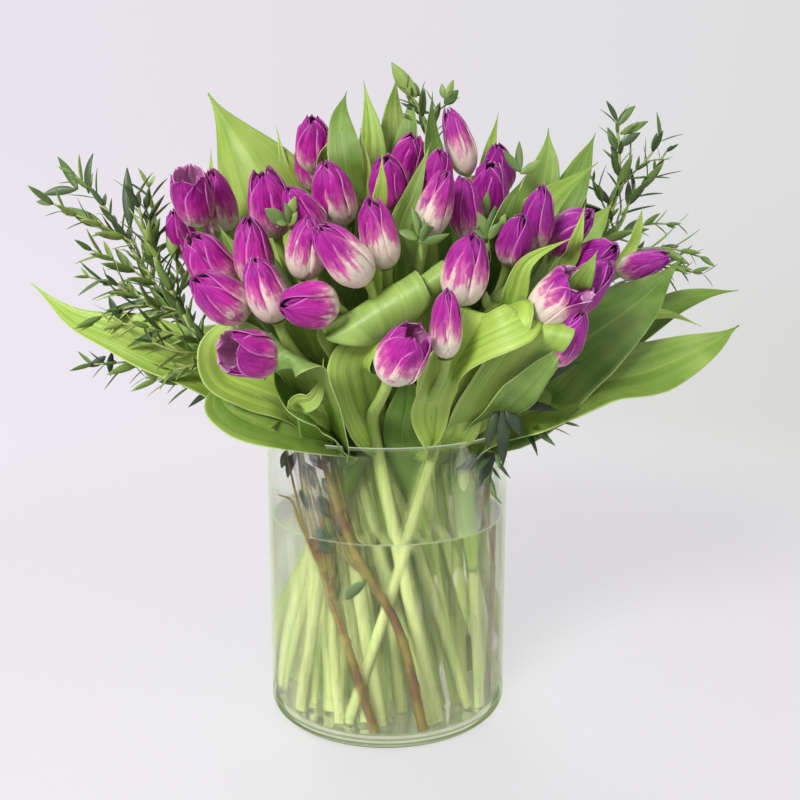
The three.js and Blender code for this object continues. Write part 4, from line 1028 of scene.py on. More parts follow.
def through_tree(holder, tree, values):
    """The plain mesh that a tree makes of an object, which is then removed."""
    modifier = holder.modifiers.new("shape", "NODES")
    modifier.node_group = tree
    for item in tree.interface.items_tree:
        if item.item_type == "SOCKET" and item.in_out == "INPUT" and item.name in values:
            modifier[item.identifier] = values[item.name]
    graph = bpy.context.evaluated_depsgraph_get()
    mesh = bpy.data.meshes.new_from_object(holder.evaluated_get(graph))
    curve = holder.data
    bpy.data.objects.remove(holder)
    if isinstance(curve, bpy.types.Curve):
        bpy.data.curves.remove(curve)
    return mesh


def path_object(name, paths):
    """One curve object of several open paths: (points in millimetres, girth at each point)."""
    curve = bpy.data.curves.new(name, "CURVE")
    curve.dimensions = "3D"
    for points, girths in paths:
        spline = curve.splines.new("POLY")
        spline.points.add(len(points) - 1)
        flat = np.column_stack([np.asarray(points) * MM, np.ones(len(points))])
        spline.points.foreach_set("co", flat.ravel())
        spline.points.foreach_set("radius", np.asarray(girths, float))
    holder = bpy.data.objects.new(name, curve)
    scene.collection.objects.link(holder)
    return holder


def random_per_path(tree, low, high, seed):
    """A random number that is the same all along one path."""
    index = tree.nodes.new("GeometryNodeInputIndex").outputs["Index"]
    of_path = add_node(tree, "GeometryNodeFieldOnDomain", links={0: index}, domain="CURVE", data_type="INT")
    node = add_node(tree, "FunctionNodeRandomValue", {"Seed": seed}, {"ID": of_path.outputs[0]})
    node.inputs[2].default_value, node.inputs[3].default_value = low, high
    return node.outputs[1]


def stored(tree, geometry, name, value):
    """The geometry with a value stored on its points under a name, for its finish to read."""
    links = {"Geometry": geometry, "Value": value}
    return add_node(tree, "GeometryNodeStoreNamedAttribute", {"Name": name}, links).outputs["Geometry"]


# %% Build the stem tree and grow the stems
STEM_SIDES = 14
rods_tree, given = new_tree("stems_along_paths", {
    "Radius": "NodeSocketFloat", "Sides": "NodeSocketInt", "Finish": "NodeSocketMaterial"})
toned = stored(rods_tree, given["Geometry"], "tone", random_per_path(rods_tree, 0.0, 1.0, 3))
section = add_node(rods_tree, "GeometryNodeCurvePrimitiveCircle",
                   links={"Resolution": given["Sides"], "Radius": given["Radius"]})
girth = rods_tree.nodes.new("GeometryNodeInputRadius").outputs["Radius"]
rods = add_node(rods_tree, "GeometryNodeCurveToMesh", {"Fill Caps": True},
                {"Curve": toned, "Profile Curve": section.outputs["Curve"], "Scale": girth})
close_tree(rods_tree, rods.outputs["Mesh"], given["Finish"])


def stem_girth(count):
    """A stem keeps its girth most of the way, narrows towards the bloom and flares under it."""
    t = np.linspace(0, 1, count)
    return 1.0 - 0.26 * smoothstep(0.45, 0.9, t) + 0.32 * smoothstep(0.975, 1.0, t)


random_stem = random.Random(5)
for bunch in sorted({row.bunch for row in BLOOMS}):
    paths = []
    for row in BLOOMS:
        if row.bunch == bunch:
            points = STEMS[row.number].points()
            paths.append((points, stem_girth(len(points)) * random_stem.uniform(0.84, 1.12)))
    sizes = {"Radius": STEM_RADIUS * MM, "Sides": STEM_SIDES, "Finish": stem_material}
    mesh = through_tree(path_object("paths", paths), rods_tree, sizes)
    mesh.name = f"tulip_stems_{bunch}"
    finished(mesh.name, mesh, "tulip_leaf_and_stem", f"leafy_stems_{bunch}")
    print(mesh.name, len(paths), "stems,", len(mesh.polygons), "faces")

# %% [markdown]
# ## Leaves
# A tulip leaf clasps its stem below, opens into a broad blade, and ends in a drawn-out tip. It bends
# over under its own weight, its edges wave, and broad ones fold. Leaves could be scattered, but the
# big ones give this bouquet its outline, so each has a row. Most rows follow the solid model; a few
# were reshaped or added against the photograph. A row holds the stem that the leaf clasps and how
# high, the points that its midrib follows, its width, the way its upper side faces, and how deeply
# it is cupped. Its tone runs from dark to bright: partly the leaf's own green, partly painted shade
# and light, darker for a leaf that lies in shadow and brighter for one in the light. A broad one
# keeps its width further towards the tip. A leaf that rolls over has the direction of its crest, its
# side, instead of a facing. A fold is a crease along the midrib, and a front leaf clasps its stem from
# the outside. Narrow young leaves fill the gaps beside the other stems.


# %% The leaves' table
class Leaf:
    """One leaf: where it clasps its stem, the points of its midrib, and how its blade lies."""

    def __init__(self, stem, height, via, width, face=(0, -1, 0.1), cup=0.25, tone=0.5,
                 side=None, fold=0, front=False, broad=1.0):
        self.stem = stem
        self.height = height
        self.via = np.array(via, float)
        self.width = width
        self.face = np.array(face, float)
        self.cup = cup
        self.tone = tone
        self.side = side
        self.fold = fold
        self.front = front
        self.broad = broad


LEAVES = [
    # far left, top left with its lengthwise fold, far right, and the broad dark one at the right
    Leaf("14", 228, [[-92, -58, 262], [-135, -75, 293], [-188, -80, 319], [-229, -75, 333],
                     [-263, -65, 358]], 46, [0.15, -0.75, 0.65], 0.3, tone=0.9),
    Leaf("11", 262, [[-84, -20, 373], [-89, -8, 404], [-104, -4, 443], [-121, 0, 472], [-140, 0, 503]],
         82, [0.1, -0.95, 0.1], 0.0, tone=0.72, fold=-0.55),
    Leaf("35", 226, [[95, -85, 260], [127, -88, 275], [157, -86, 287], [188, -80, 292], [220, -70, 302],
                     [250, -60, 314], [271, -50, 325]], 45, [0, -0.8, 0.6], 0.3, tone=0.38, broad=1.35),
    Leaf("33", 232, [[100, -75, 270], [141, -85, 314], [186, -78, 346], [223, -55, 376]],
         64, [0.2, -0.9, 0.4], 0.25, tone=0.1),
    Leaf("36", 236, [[140, -20, 274], [172, -16, 295], [205, -12, 319], [231, -8, 337], [259, -4, 346],
                     [287, -2, 349]], 27, [0, -0.7, 0.7], 0.3, tone=0.3, broad=1.3),
    Leaf("32", 246, [[152, -34, 290], [180, -32, 318], [204, -30, 331], [226, -28, 331], [250, -26, 322]],
         15, [0, -0.7, 0.7], tone=0.9, broad=1.2),
    # the light one in front at the left, then the two that roll over, and the first big fold
    Leaf("08", 226, [[-14, -82, 254], [-22, -108, 283], [-23, -126, 307], [-8, -138, 326], [25, -128, 342]],
         38, [0.1, -0.85, 0.5], 0.2, tone=1.2),
    Leaf("09", 222, [[-4, -84, 281], [-9, -112, 317], [-14, -128, 342], [-12, -140, 350], [-7, -150, 342],
                     [-3, -146, 329], [-4, -132, 320]],
         74, cup=0.03, tone=0.72, side=[0.84, 0, 0.54], broad=2.4),
    Leaf("23", 250, [[31, -100, 312], [27, -112, 345], [23, -120, 362], [24, -128, 366], [27, -136, 361],
                     [29, -132, 350], [30, -120, 344]],
         34, cup=0.03, tone=0.8, side=[0.75, 0, 0.6], broad=2.4),
    Leaf("21", 226, [[44, -84, 243], [43, -104, 269], [48, -126, 294], [58, -144, 320], [65, -152, 336],
                     [70, -148, 343], [66, -136, 339], [60, -124, 327]],
         58, cup=0.12, tone=0.9, side=[0.94, 0, 0.36], broad=1.9),
    # the bright one that bends over to the right in front of the first big fold
    Leaf("21", 226, [[32, -100, 255], [33, -112, 277], [37, -122, 296], [47, -138, 312], [62, -156, 325],
                     [76, -164, 333], [87, -161, 338], [94, -148, 340], [93, -134, 339]],
         31, [0, -0.85, 0.5], cup=0.1, tone=0.9, broad=2.2),
    # the second big fold at the right, and a small dark one beside it
    Leaf("31", 226, [[58, -92, 256], [72, -118, 282], [85, -142, 309], [96, -157, 328], [103, -155, 335],
                     [102, -143, 331], [97, -130, 320]],
         42, cup=0.1, tone=0.7, side=[0.95, 0, 0.1], broad=1.8),
    Leaf("37", 226, [[73, -96, 260], [89, -136, 286], [105, -152, 308], [122, -152, 326]],
         26, [0.3, -0.9, 0.3], tone=0.12),
    # low at the left: one sweeps out along the rim, one hangs over, one is a deep cup in painted shade, two
    # are bright
    Leaf("07", 222, [[-53, -88, 244], [-86, -104, 256], [-114, -104, 271], [-120, -92, 279],
                     [-110, -76, 284]], 42, [0, -0.7, 0.7], 0.4, tone=0.4),
    Leaf("17", 228, [[-41, -90, 243], [-46, -120, 276], [-53, -140, 301], [-60, -150, 314],
                     [-67, -156, 318], [-74, -158, 311], [-81, -154, 299]],
         44, cup=0.35, tone=0.3, side=[0.8, 0, -0.5], broad=1.4),
    Leaf("17", 226, [[-38, -92, 254], [-51, -108, 272], [-62, -122, 288], [-67, -124, 304],
                     [-63, -118, 318]], 54, [0.1, -0.75, 0.65], 0.6, tone=0.1),
    Leaf("17", 230, [[-41, -112, 264], [-62, -134, 279], [-51, -140, 283], [-45, -140, 294],
                     [-43, -136, 311]], 15, [0.4, -0.9, 0], 0.3, tone=0.75),
    Leaf("15", 226, [[-75, -88, 274], [-97, -100, 285], [-116, -106, 296], [-120, -110, 314],
                     [-111, -110, 330], [-97, -108, 343]], 36, [0.3, -0.85, 0.45], tone=1.0),
    # broad foot ends of leaves that stand in the mouth of the vase
    Leaf("17", 196, [[-28, -72, 243], [-33, -88, 275], [-27, -96, 305]],
         30, cup=-0.15, tone=0.25, front=True),
    Leaf("09", 190, [[4, -62, 243], [7, -80, 284], [11, -92, 319]], 34, cup=-0.1, tone=0.35, front=True),
    Leaf("30", 186, [[53, -62, 241], [64, -80, 276], [82, -92, 307]], 34, cup=-0.1, tone=0.4, front=True),
    Leaf("35", 190, [[67, -54, 238], [89, -72, 271], [113, -82, 295]], 36, cup=-0.1, tone=0.15, front=True),
    Leaf("24", 186, [[11, -76, 243], [15, -90, 276], [12, -98, 303]], 28, cup=-0.15, tone=0.15, front=True),
    Leaf("06", 190, [[-10, -66, 241], [-19, -84, 275], [-11, -94, 306]],
         32, cup=-0.1, tone=0.6, front=True),
    Leaf("05", 190, [[-39, -50, 240], [-51, -70, 274], [-57, -84, 303]],
         34, cup=-0.1, tone=0.3, front=True),
    Leaf("25", 186, [[35, -50, 239], [40, -70, 286], [47, -84, 325]], 34, cup=-0.1, tone=0.2, front=True),
    # narrow ones between the blooms and the tips that stand up at the top
    Leaf("02", 320, [[-27, -62, 415], [-30, -76, 448], [-33, -68, 477], [-29, -58, 496]],
         25, [0.1, -1, 0], tone=0.15),
    Leaf("04", 330, [[-18, -62, 415], [-16, -70, 443], [-19, -66, 469]], 11, [0.1, -1, 0], tone=0.9),
    Leaf("01", 320, [[-47, -62, 444], [-40, -72, 456], [-32, -72, 469]], 11, [0.5, -0.9, 0], tone=0.9),
    Leaf("04", 300, [[-23, -50, 423], [-19, -45, 472]], 16, [0.7, -0.7, 0], tone=0.9),
    Leaf("38", 290, [[-10, -24, 432], [-12, -12, 475], [-18, 0, 513]], 22, [0.2, -0.95, 0], tone=0.7),
    Leaf("26", 300, [[5, 12, 453], [5, 12, 491], [8, 15, 519]], 22, [0.4, -0.9, 0]),
    Leaf("23", 300, [[14, 2, 445], [18, 5, 480], [20, 8, 506]], 22, [-0.5, -0.85, 0], tone=0.1),
    Leaf("27", 300, [[38, -44, 428], [33, -46, 466], [34, -44, 498]], 22, [0.7, -0.7, 0], tone=0.2),
    Leaf("38", 260, [[6, -92, 386], [19, -98, 424], [31, -92, 457]], 16, [0.2, -0.95, 0.1], tone=0.3),
    Leaf("09", 270, [[-8, -118, 400], [-4, -125, 424], [-3, -125, 446]], 13, [0.5, -0.85, 0], tone=1.0),
    Leaf("29", 290, [[79, 2, 441], [89, 4, 490]], 15, [0.3, -0.95, 0], tone=0.7),
    Leaf("28", 290, [[108, -35, 409], [122, -28, 444], [125, -20, 475]], 32, [0.2, -0.95, 0], tone=0.4),
    Leaf("32", 280, [[133, -20, 405], [152, -12, 445], [165, -5, 473]], 26, [0.1, -0.95, 0.1], tone=0.3),
    Leaf("30", 280, [[99, -60, 391], [120, -58, 418], [158, -48, 447]], 30, [0.2, -0.8, 0.5]),
    Leaf("25", 280, [[77, -104, 375], [75, -124, 394], [81, -128, 413], [93, -118, 432]],
         20, [0.5, -0.85, 0], tone=0.1),
    Leaf("22", 240, [[77, -120, 325], [84, -138, 352], [92, -144, 375], [124, -138, 392]],
         19, [0.2, -0.95, 0.2], tone=0.8),
    Leaf("33", 290, [[141, -40, 373], [161, -40, 403], [173, -36, 418]], 20, [0.2, -0.9, 0.3]),
    Leaf("35", 270, [[126, -100, 373], [130, -116, 391], [136, -112, 414]], 13, [0.2, -0.9, 0.3], tone=0.8),
    Leaf("35", 250, [[119, -116, 340], [124, -152, 360], [130, -158, 372], [136, -154, 383]],
         17, [0.2, -0.9, 0.3], tone=0.45),
    Leaf("36", 300, [[192, -14, 380], [199, -16, 400], [201, -18, 416]], 10, [0.3, -0.9, 0.2], tone=0.9),
    Leaf("12", 300, [[-135, -12, 417], [-138, -8, 462]], 9, [0.3, -0.9, 0.2], tone=0.8),
    Leaf("03", 300, [[-78, 8, 433], [-89, 12, 481]], 10, [0.3, -0.9, 0.2], tone=0.8),
    Leaf("16", 260, [[-105, -80, 353], [-112, -70, 379], [-124, -64, 401]], 20, [0.3, -0.9, 0.3], tone=0.3),
    Leaf("24", 250, [[39, -105, 323], [28, -100, 364], [10, -98, 396]], 28, [-0.3, -0.9, 0.2], tone=0.3),
    # the back, which the photograph doesn't show
    Leaf("39a", 226, [[-80, 60, 262], [-130, 84, 292], [-178, 92, 300], [-214, 84, 282]],
         42, [-0.1, 0.75, 0.65], 0.3, tone=0.7),
    Leaf("40c", 226, [[-40, 78, 262], [-62, 118, 300], [-78, 150, 322], [-92, 168, 312]],
         44, [-0.2, 0.7, 0.65], 0.3),
    Leaf("41c", 226, [[34, 84, 264], [48, 126, 302], [58, 160, 330], [74, 178, 336]],
         42, [0.2, 0.8, 0.5], 0.3, tone=0.7),
    Leaf("42a", 226, [[88, 58, 262], [134, 86, 300], [172, 104, 334], [196, 112, 366]],
         40, [0.3, 0.8, 0.5], 0.3),
    Leaf("40a", 270, [[-64, 96, 372], [-70, 112, 420], [-64, 112, 462]], 34, [-0.1, 0.95, 0.2]),
    Leaf("43a", 290, [[8, 70, 410], [12, 78, 452], [6, 76, 486]], 30, [0.1, 0.95, 0.1], tone=0.3),
    Leaf("41b", 270, [[86, 86, 372], [93, 96, 416], [88, 98, 456]], 32, [0.2, 0.95, 0.1]),
    Leaf("42b", 270, [[138, 28, 366], [158, 26, 402], [166, 22, 434]], 26, [0.6, 0.75, 0.2]),
    Leaf("43b", 260, [[34, 66, 352], [58, 72, 410], [52, 70, 462]], 28, [0.2, 0.95, 0.1], tone=0.4),
    Leaf("40b", 240, [[8, 104, 300], [14, 134, 346], [16, 148, 384]], 34, [0, 0.95, 0.3], tone=0.7),
    Leaf("39b", 240, [[-86, 92, 300], [-118, 112, 340], [-140, 118, 372]], 32, [-0.5, 0.8, 0.3]),
    Leaf("39a", 270, [[-118, 44, 366], [-140, 44, 404], [-150, 38, 436]], 26, [-0.7, 0.7, 0.2], tone=0.4),
]
print(len(LEAVES), "leaves in the table")

# %% Leaf form
BLADE_ROWS = 40
SHEATH_ROWS = 9
LEAF_COLUMNS = 17
LEAF_THICKNESS = 0.9
SHEATH_RADIUS = STEM_RADIUS + 0.6
SHEATH_LONG = 60
SHEATH_WRAP = math.radians(150)  # how far each half of the sheath reaches round its stem
HELD = 0.22                      # the share of the blade that still bends round the stem
MOST_BEND = 2.5                  # no blade curls further than this, in radians
LEAST_CURVE = 1e-4
CALM_FROM = 1.5                  # blades broader than this wave less
CALM = 0.3


def through_points(points, t):
    """A smooth line through the points: centripetal Catmull-Rom, t from 0 to 1 over its stretches."""
    points = np.asarray(points, float)
    ends = np.concatenate([[2 * points[0] - points[1]], points, [2 * points[-1] - points[-2]]])
    stretches = len(points) - 1
    place = np.clip(np.asarray(t) * stretches, 0, stretches - 1e-9)
    first = place.astype(int)
    share = (place - first)[:, None]
    p0, p1, p2, p3 = (ends[first + k] for k in range(4))
    d0, d1, d2 = (np.linalg.norm(b - a, axis=1)[:, None] ** 0.5 for a, b in ((p0, p1), (p1, p2), (p2, p3)))
    leave = ((p1 - p0) / d0 - (p2 - p0) / (d0 + d1) + (p2 - p1) / d1) * d1
    arrive = ((p2 - p1) / d1 - (p3 - p1) / (d1 + d2) + (p3 - p2) / d2) * d1
    cube = 2 * p1 - 2 * p2 + leave + arrive
    square = -3 * p1 + 3 * p2 - 2 * leave - arrive
    return ((cube * share + square) * share + leave) * share + p1


def unit(vectors):
    """The same directions with a length of one."""
    return vectors / np.maximum(np.linalg.norm(vectors, axis=-1, keepdims=True), 1e-9)


def leaf_width(t, broad):
    """A leaf's width as a share, from its foot to its tip; broad ones stay wide longer."""
    t = t ** broad
    swell = np.sin(math.pi * np.clip(t, 0, 1) ** 0.72).clip(0) ** (0.8 + 0.85 * t ** 3)
    return np.minimum(0.5 * (1 - t) ** 2.5 + 0.02 + 0.97 * swell, 1)


def leaf_frame(row, centre):
    """The directions along the leaf, to its side, and out of its upper face, all along its midrib."""
    along = unit(np.gradient(centre, axis=0))
    if row.side is None:
        side = unit(np.cross(along, row.face))
    else:
        side = np.array(row.side, float) - (along @ row.side)[:, None] * along
        side = unit(side)
    for _ in range(2):
        side[1:-1] = unit(side[:-2] + side[1:-1] + side[2:])
    return along, side, np.cross(side, along)


def leaf_shape(row, draw):
    """A leaf's blade: its sheath runs down the stem, and its midrib through the points of its row."""
    stem = STEMS[row.stem]
    root, _ = stem.at_height(row.height)
    t = np.linspace(0, 1, BLADE_ROWS)
    rib = through_points(np.concatenate([[root], row.via]), t)
    low = np.linspace(row.height - SHEATH_LONG, row.height, SHEATH_ROWS, endpoint=False)
    sheath = np.array([stem.at_height(h)[0] for h in low])
    centre = np.concatenate([sheath, rib])
    along, side, up = leaf_frame(row, centre)
    station = np.concatenate([-np.linspace(1, 0, SHEATH_ROWS, endpoint=False), t])
    held = 1 - smoothstep(0, HELD, station)
    wrap = -1 if row.front else 1
    reach = row.width / 2 * leaf_width(np.clip(station, 0, 1), row.broad)
    hug = SHEATH_WRAP * SHEATH_RADIUS * (0.35 + 0.65 * smoothstep(-1, -0.1, station))
    reach = reach + (np.minimum(reach, hug) - reach) * (station < 0)
    free_curve = 2 * row.cup * (1 - 0.5 * np.clip(station, 0, 1)) / np.maximum(reach, 1)
    radius = SHEATH_RADIUS * (1 + 1.2 * smoothstep(-1, 0, station))
    curve = free_curve + (wrap / radius - free_curve) * held
    curve = np.where(np.abs(curve) < LEAST_CURVE, LEAST_CURVE, curve)
    v = np.linspace(-1, 1, LEAF_COLUMNS)[None, :]
    bend = np.clip(v * (reach * curve)[:, None], -MOST_BEND, MOST_BEND)
    flat = (np.sin(bend) / curve[:, None])[..., None]
    lift = (1 - np.cos(bend)) / curve[:, None]
    lift = lift + (row.fold * reach * (1 - held))[:, None] * (np.sqrt(v * v + 0.01) - 0.1)
    offset = (-wrap * SHEATH_RADIUS * held)[:, None]
    phase = draw.uniform(0, 6)
    waves = draw.uniform(1.6, 2.6) * 2 * math.pi
    edge = v * np.abs(v) * (reach * (1 - held) * (1 - 0.5 * np.clip(station, 0, 1)))[:, None]
    ruffle = edge * (0.11 * np.sin(waves * station + phase) + 0.05 * np.sin(2.3 * waves * station))[:, None]
    calm = CALM if row.broad > CALM_FROM else 1
    ruffle = ruffle * calm
    free = (reach * (1 - held))[:, None] * calm
    swell = 0.03 * free * np.sin(3 * v + 9 * station[:, None] + phase)
    swell = swell + 0.016 * free * np.sin(draw.uniform(8, 12) * v + 3 * station[:, None] + 2 * phase)
    swell = swell - 0.035 * free * np.exp(-(v / 0.07) ** 2)
    raised = (lift + offset + ruffle + swell)[..., None]
    middle = centre[:, None] + side[:, None] * flat + up[:, None] * raised
    to_tip = np.clip(station, 0, 1)[:, None]
    thickness = LEAF_THICKNESS * (1 - 0.55 * np.abs(v) ** 3) * (1 - 0.5 * to_tip ** 3)
    return blade(middle, thickness, {"tone": row.tone})


def filler(row, draw):
    """A narrow young leaf that stands beside a stem and ends a little under or beside its bloom."""
    stem = STEMS[row.number]
    start = draw.uniform(252, 275)
    outward = np.array([row.at[0], row.at[1], 0]) + [draw.uniform(-40, 40), draw.uniform(-40, 40), 0]
    outward = unit(outward + [0, 0, 0.001])
    via = []
    for share, away in ((0.45, 7), (0.8, 12), (1.0, draw.uniform(12, 18))):
        height = start + share * (row.at[2] + draw.uniform(-4, 10) - start)
        point, _ = stem.at_height(min(height, row.at[2] - 1))
        via.append([point[0] + outward[0] * away, point[1] + outward[1] * away, height])
    width = draw.uniform(20, 32)
    tone_value = draw.uniform(0, 0.7)
    return Leaf(row.number, start, via, width, -outward + [0, 0, 0.2], tone=tone_value)


# %% Grow the leaves
# The stems beside which the photograph shows no young leaf:
UNFILLED = {"02", "07", "08", "09", "17", "18", "19", "20", "21", "22", "24", "34", "35", "37"}
random_leaf = random.Random(11)
for bunch in sorted({row.bunch for row in BLOOMS}):
    members = {row.number for row in BLOOMS if row.bunch == bunch}
    shapes = [leaf_shape(row, random_leaf) for row in LEAVES if row.stem in members]
    gaps = [row for row in BLOOMS if row.number in members and row.number not in UNFILLED]
    shapes += [leaf_shape(filler(row, random_leaf), random_leaf) for row in gaps]
    name = f"tulip_leaves_{bunch}"
    new_piece(name, merged(shapes), leaf_material, "tulip_leaf_and_stem", f"leafy_stems_{bunch}")
    print(name, len(shapes), "leaves")

# %% [markdown]
# ## Eucalyptus sprays
# The sprays are thin brown twigs with narrow leaves in opposite pairs, each pair turned a quarter
# from the last. The main routes are those of the solid model, with more side twigs and, inside the
# vase, bare forks. Each leaf could be modelled, but they are all alike, so one small pair is made once
# and set along the twigs by Geometry Nodes at a steady spacing, smaller towards the tips, with
# angles, sizes and tones varied by a fixed seed.


# %% The sprays' table
class Spray:
    """One spray: its main twig is bare up to a share of its route; branches have leaves, forks none."""

    def __init__(self, name, route, bare, branches, forks=()):
        self.name = name
        self.route = np.array(route, float)
        self.bare = bare
        self.branches = [np.array(b, float) for b in branches]
        self.forks = [np.array(f, float) for f in forks]


SPRAYS = [
    Spray("left", [[-10, -84, 10.5], [-28, -82, 72], [-46, -76, 129], [-62, -66, 190], [-74, -52, 244],
                   [-110, -50, 276], [-152, -48, 318], [-188, -40, 372], [-222, -26, 420],
                   [-241, -20, 439]], 0.5, [
        [[-164, -46, 336], [-200, -52, 356], [-223, -54, 362]],
        [[-188, -40, 372], [-180, -30, 410], [-183, -26, 429]],
        [[-191, -40, 386], [-213, -46, 400], [-237, -50, 410], [-248, -50, 416]],
        [[-179, -46, 363], [-181, -40, 390], [-183, -36, 412]],
        [[-168, -50, 351], [-192, -56, 368], [-219, -58, 382]],
        [[-152, -60, 332], [-183, -70, 342], [-210, -72, 334]],
        [[-144, -60, 317], [-158, -48, 348], [-161, -40, 373]],
    ], [
        [[-44, -78, 127], [-58, -76, 156], [-69, -72, 193], [-78, -66, 233]],
        [[-44, -78, 127], [-39, -72, 145], [-41, -70, 189], [-55, -66, 234]],
        [[-47, -78, 139], [-50, -74, 170], [-61, -70, 209], [-67, -64, 234]],
        [[-41, -78, 135], [-47, -74, 162], [-52, -70, 201], [-61, -64, 234]],
        [[-54, -76, 147], [-68, -70, 177], [-75, -66, 192], [-85, -62, 195]],
    ]),
    Spray("left_low", [[27, -85, 10.5], [8, -87, 95], [-28, -86, 164], [-45, -74, 213], [-53, -67, 242],
                       [-84, -82, 268], [-138, -72, 316], [-166, -56, 360], [-184, -46, 402],
                       [-188, -43, 421]], 0.54, [
        [[-104, -78, 278], [-150, -62, 282], [-183, -61, 287]],
        [[-150, -64, 336], [-186, -66, 348], [-206, -66, 361]],
        [[-137, -84, 316], [-163, -92, 326], [-197, -94, 332]],
        [[-132, -84, 309], [-150, -98, 311], [-167, -100, 318]],
        [[-141, -64, 299], [-187, -60, 299], [-222, -60, 297]],
        [[-134, -90, 300], [-143, -100, 300], [-153, -100, 298]],
        [[-149, -60, 323], [-162, -56, 345], [-171, -50, 373]],
    ], [
        [[-15, -84, 136], [-29, -82, 150], [-39, -78, 171], [-50, -66, 234]],
        [[-15, -84, 136], [-26, -78, 167], [-35, -74, 200], [-45, -68, 235]],
    ]),
    Spray("right", [[66, 48, 10.5], [77, 43, 120], [82, 36, 200], [84, 34, 240], [118, 30, 276],
                    [156, 26, 336], [178, 22, 388], [190, 20, 430], [190, 20, 464], [187, 20, 483]], 0.56, [
        [[178, 22, 388], [214, 20, 402], [240, 18, 403]],
        [[190, 20, 432], [212, 18, 454], [222, 16, 468]],
        [[166, 24, 360], [216, 24, 372], [238, 22, 369]],
        [[194, 22, 410], [216, 24, 439], [230, 24, 461]],
        [[202, 26, 381], [235, 24, 383], [262, 22, 376]],
        [[191, 24, 396], [179, 20, 418], [170, 18, 437]],
        [[210, 26, 371], [245, 24, 365], [265, 22, 362]],
    ]),
    Spray("top", [[0, 84, 10.5], [2, 76, 120], [2, 62, 222], [6, 26, 330], [24, 12, 410], [34, 10, 464],
                  [27, 5, 490], [16, 2, 507]], 0.9, [
        [[34, 10, 464], [37, 8, 478], [40, 7, 490]],
    ]),
    Spray("low_right", [[74, -30, 10.5], [79, -30, 120], [80, -34, 200], [80, -37, 238], [88, -54, 256],
                        [102, -80, 254], [118, -98, 254], [128, -103, 259]], 0.74, [
        [[85, -60, 245], [81, -58, 213], [79, -56, 188]],
    ], [
        [[84, -50, 137], [78, -54, 171], [64, -60, 214], [57, -62, 238]],
    ]),
]
TWIG_RADIUS = 3.9
SIDE_TWIG_SHARE = 0.36
NODE_EVERY = 38                  # millimetres of twig between its rings

# %% Twig material
twig_material, tree, shader = new_material("woody_twig")
place = add_node(tree, "ShaderNodeTexCoord").outputs["Object"]
grain = noise(tree, stretched(tree, place, (300, 300, 60)), 1.0, 4)
patch = noise(tree, place, 40, 2)
height = add_node(tree, "ShaderNodeSeparateXYZ", links={"Vector": place}).outputs["Z"]
brown = mix_colours(tree, grain, srgb(56, 38, 14), srgb(124, 92, 40))
greener = ramp(tree, patch, [(0.4, grey(0)), (0.58, grey(0.8))])
colour = mix_colours(tree, greener, brown, srgb(118, 108, 40))
young = add_node(tree, "ShaderNodeMapRange", {"From Min": 0.22, "From Max": 0.32}, {"Value": height})
colour = mix_colours(tree, young.outputs["Result"], colour, srgb(138, 150, 84))
tree.links.new(colour, shader.inputs["Base Color"])
shader.inputs["Roughness"].default_value = 0.6
tree.links.new(bump(tree, grain, 0.5, 0.0008), shader.inputs["Normal"])
print("twig finish:", len(tree.nodes), "nodes")

# %% Eucalyptus leaf material
eucalyptus_material, tree, shader = new_material("eucalyptus_leaf")
tone = attribute(tree, "tone")
place = add_node(tree, "ShaderNodeTexCoord").outputs["Object"]
cloud = noise(tree, place, 90, 3)
colour = ramp(tree, tone, [(0.0, srgb(38, 50, 34)), (0.3, srgb(80, 104, 54)), (0.6, srgb(112, 138, 68)),
                           (0.85, srgb(142, 164, 80)), (1.0, srgb(170, 188, 100))])
dull = ramp(tree, cloud, [(0.4, grey(0)), (0.75, grey(0.4))])
colour = mix_colours(tree, dull, colour, srgb(66, 88, 56))
tree.links.new(colour, shader.inputs["Base Color"])
shader.inputs["Roughness"].default_value = 0.45
shader.inputs["Specular IOR Level"].default_value = 0.35
tree.links.new(bump(tree, cloud, 0.25, 0.0004), shader.inputs["Normal"])
print("eucalyptus leaf finish:", len(tree.nodes), "nodes")

# %% One pair of leaves
LEAF_LONG = 33
LEAF_WIDE = 7.6
LEAF_TILT = math.radians(36)
LEAF_DROOP = 0.10
LEAF_ROWS = 6
SLIM_THICKNESS = 0.35


def slim_leaf():
    """A narrow blade that leaves the twig at an angle and bows a little; +Z runs along the twig."""
    t = np.linspace(0, 1, LEAF_ROWS)
    half = LEAF_WIDE / 2 * np.sin(math.pi * t ** 0.8).clip(0.03) ** 0.8
    away = LEAF_LONG * (math.sin(LEAF_TILT) * t + LEAF_DROOP * t * t)
    up = LEAF_LONG * (math.cos(LEAF_TILT) * t - 0.5 * LEAF_DROOP * t * t)
    keel = 0.9 * (half / LEAF_WIDE)
    left = np.stack([away - keel, half, up + keel], axis=-1)
    rib = np.stack([away, 0 * t, up - keel], axis=-1)
    right = np.stack([away - keel, -half, up + keel], axis=-1)
    return np.stack([left, rib, right], axis=1)


def pair_object():
    """Two leaves opposite each other, the second turned half round the twig."""
    points, faces, uv, named = blade(slim_leaf(), SLIM_THICKNESS)
    opposite = (points * [-1, -1, 1], faces, uv, named)
    points, faces, uv, named = merged([(points, faces, uv, named), opposite])
    mesh = bpy.data.meshes.new("leaf_pair")
    mesh.from_pydata((points * MM).tolist(), [], faces.tolist())
    return bpy.data.objects.new("leaf_pair", mesh)


# %% [markdown]
# The tree resamples each leafy stretch of twig, stands a pair of leaves on every point with its Z
# along the twig, turns every second pair by a quarter, shrinks them towards the tip and jitters them.


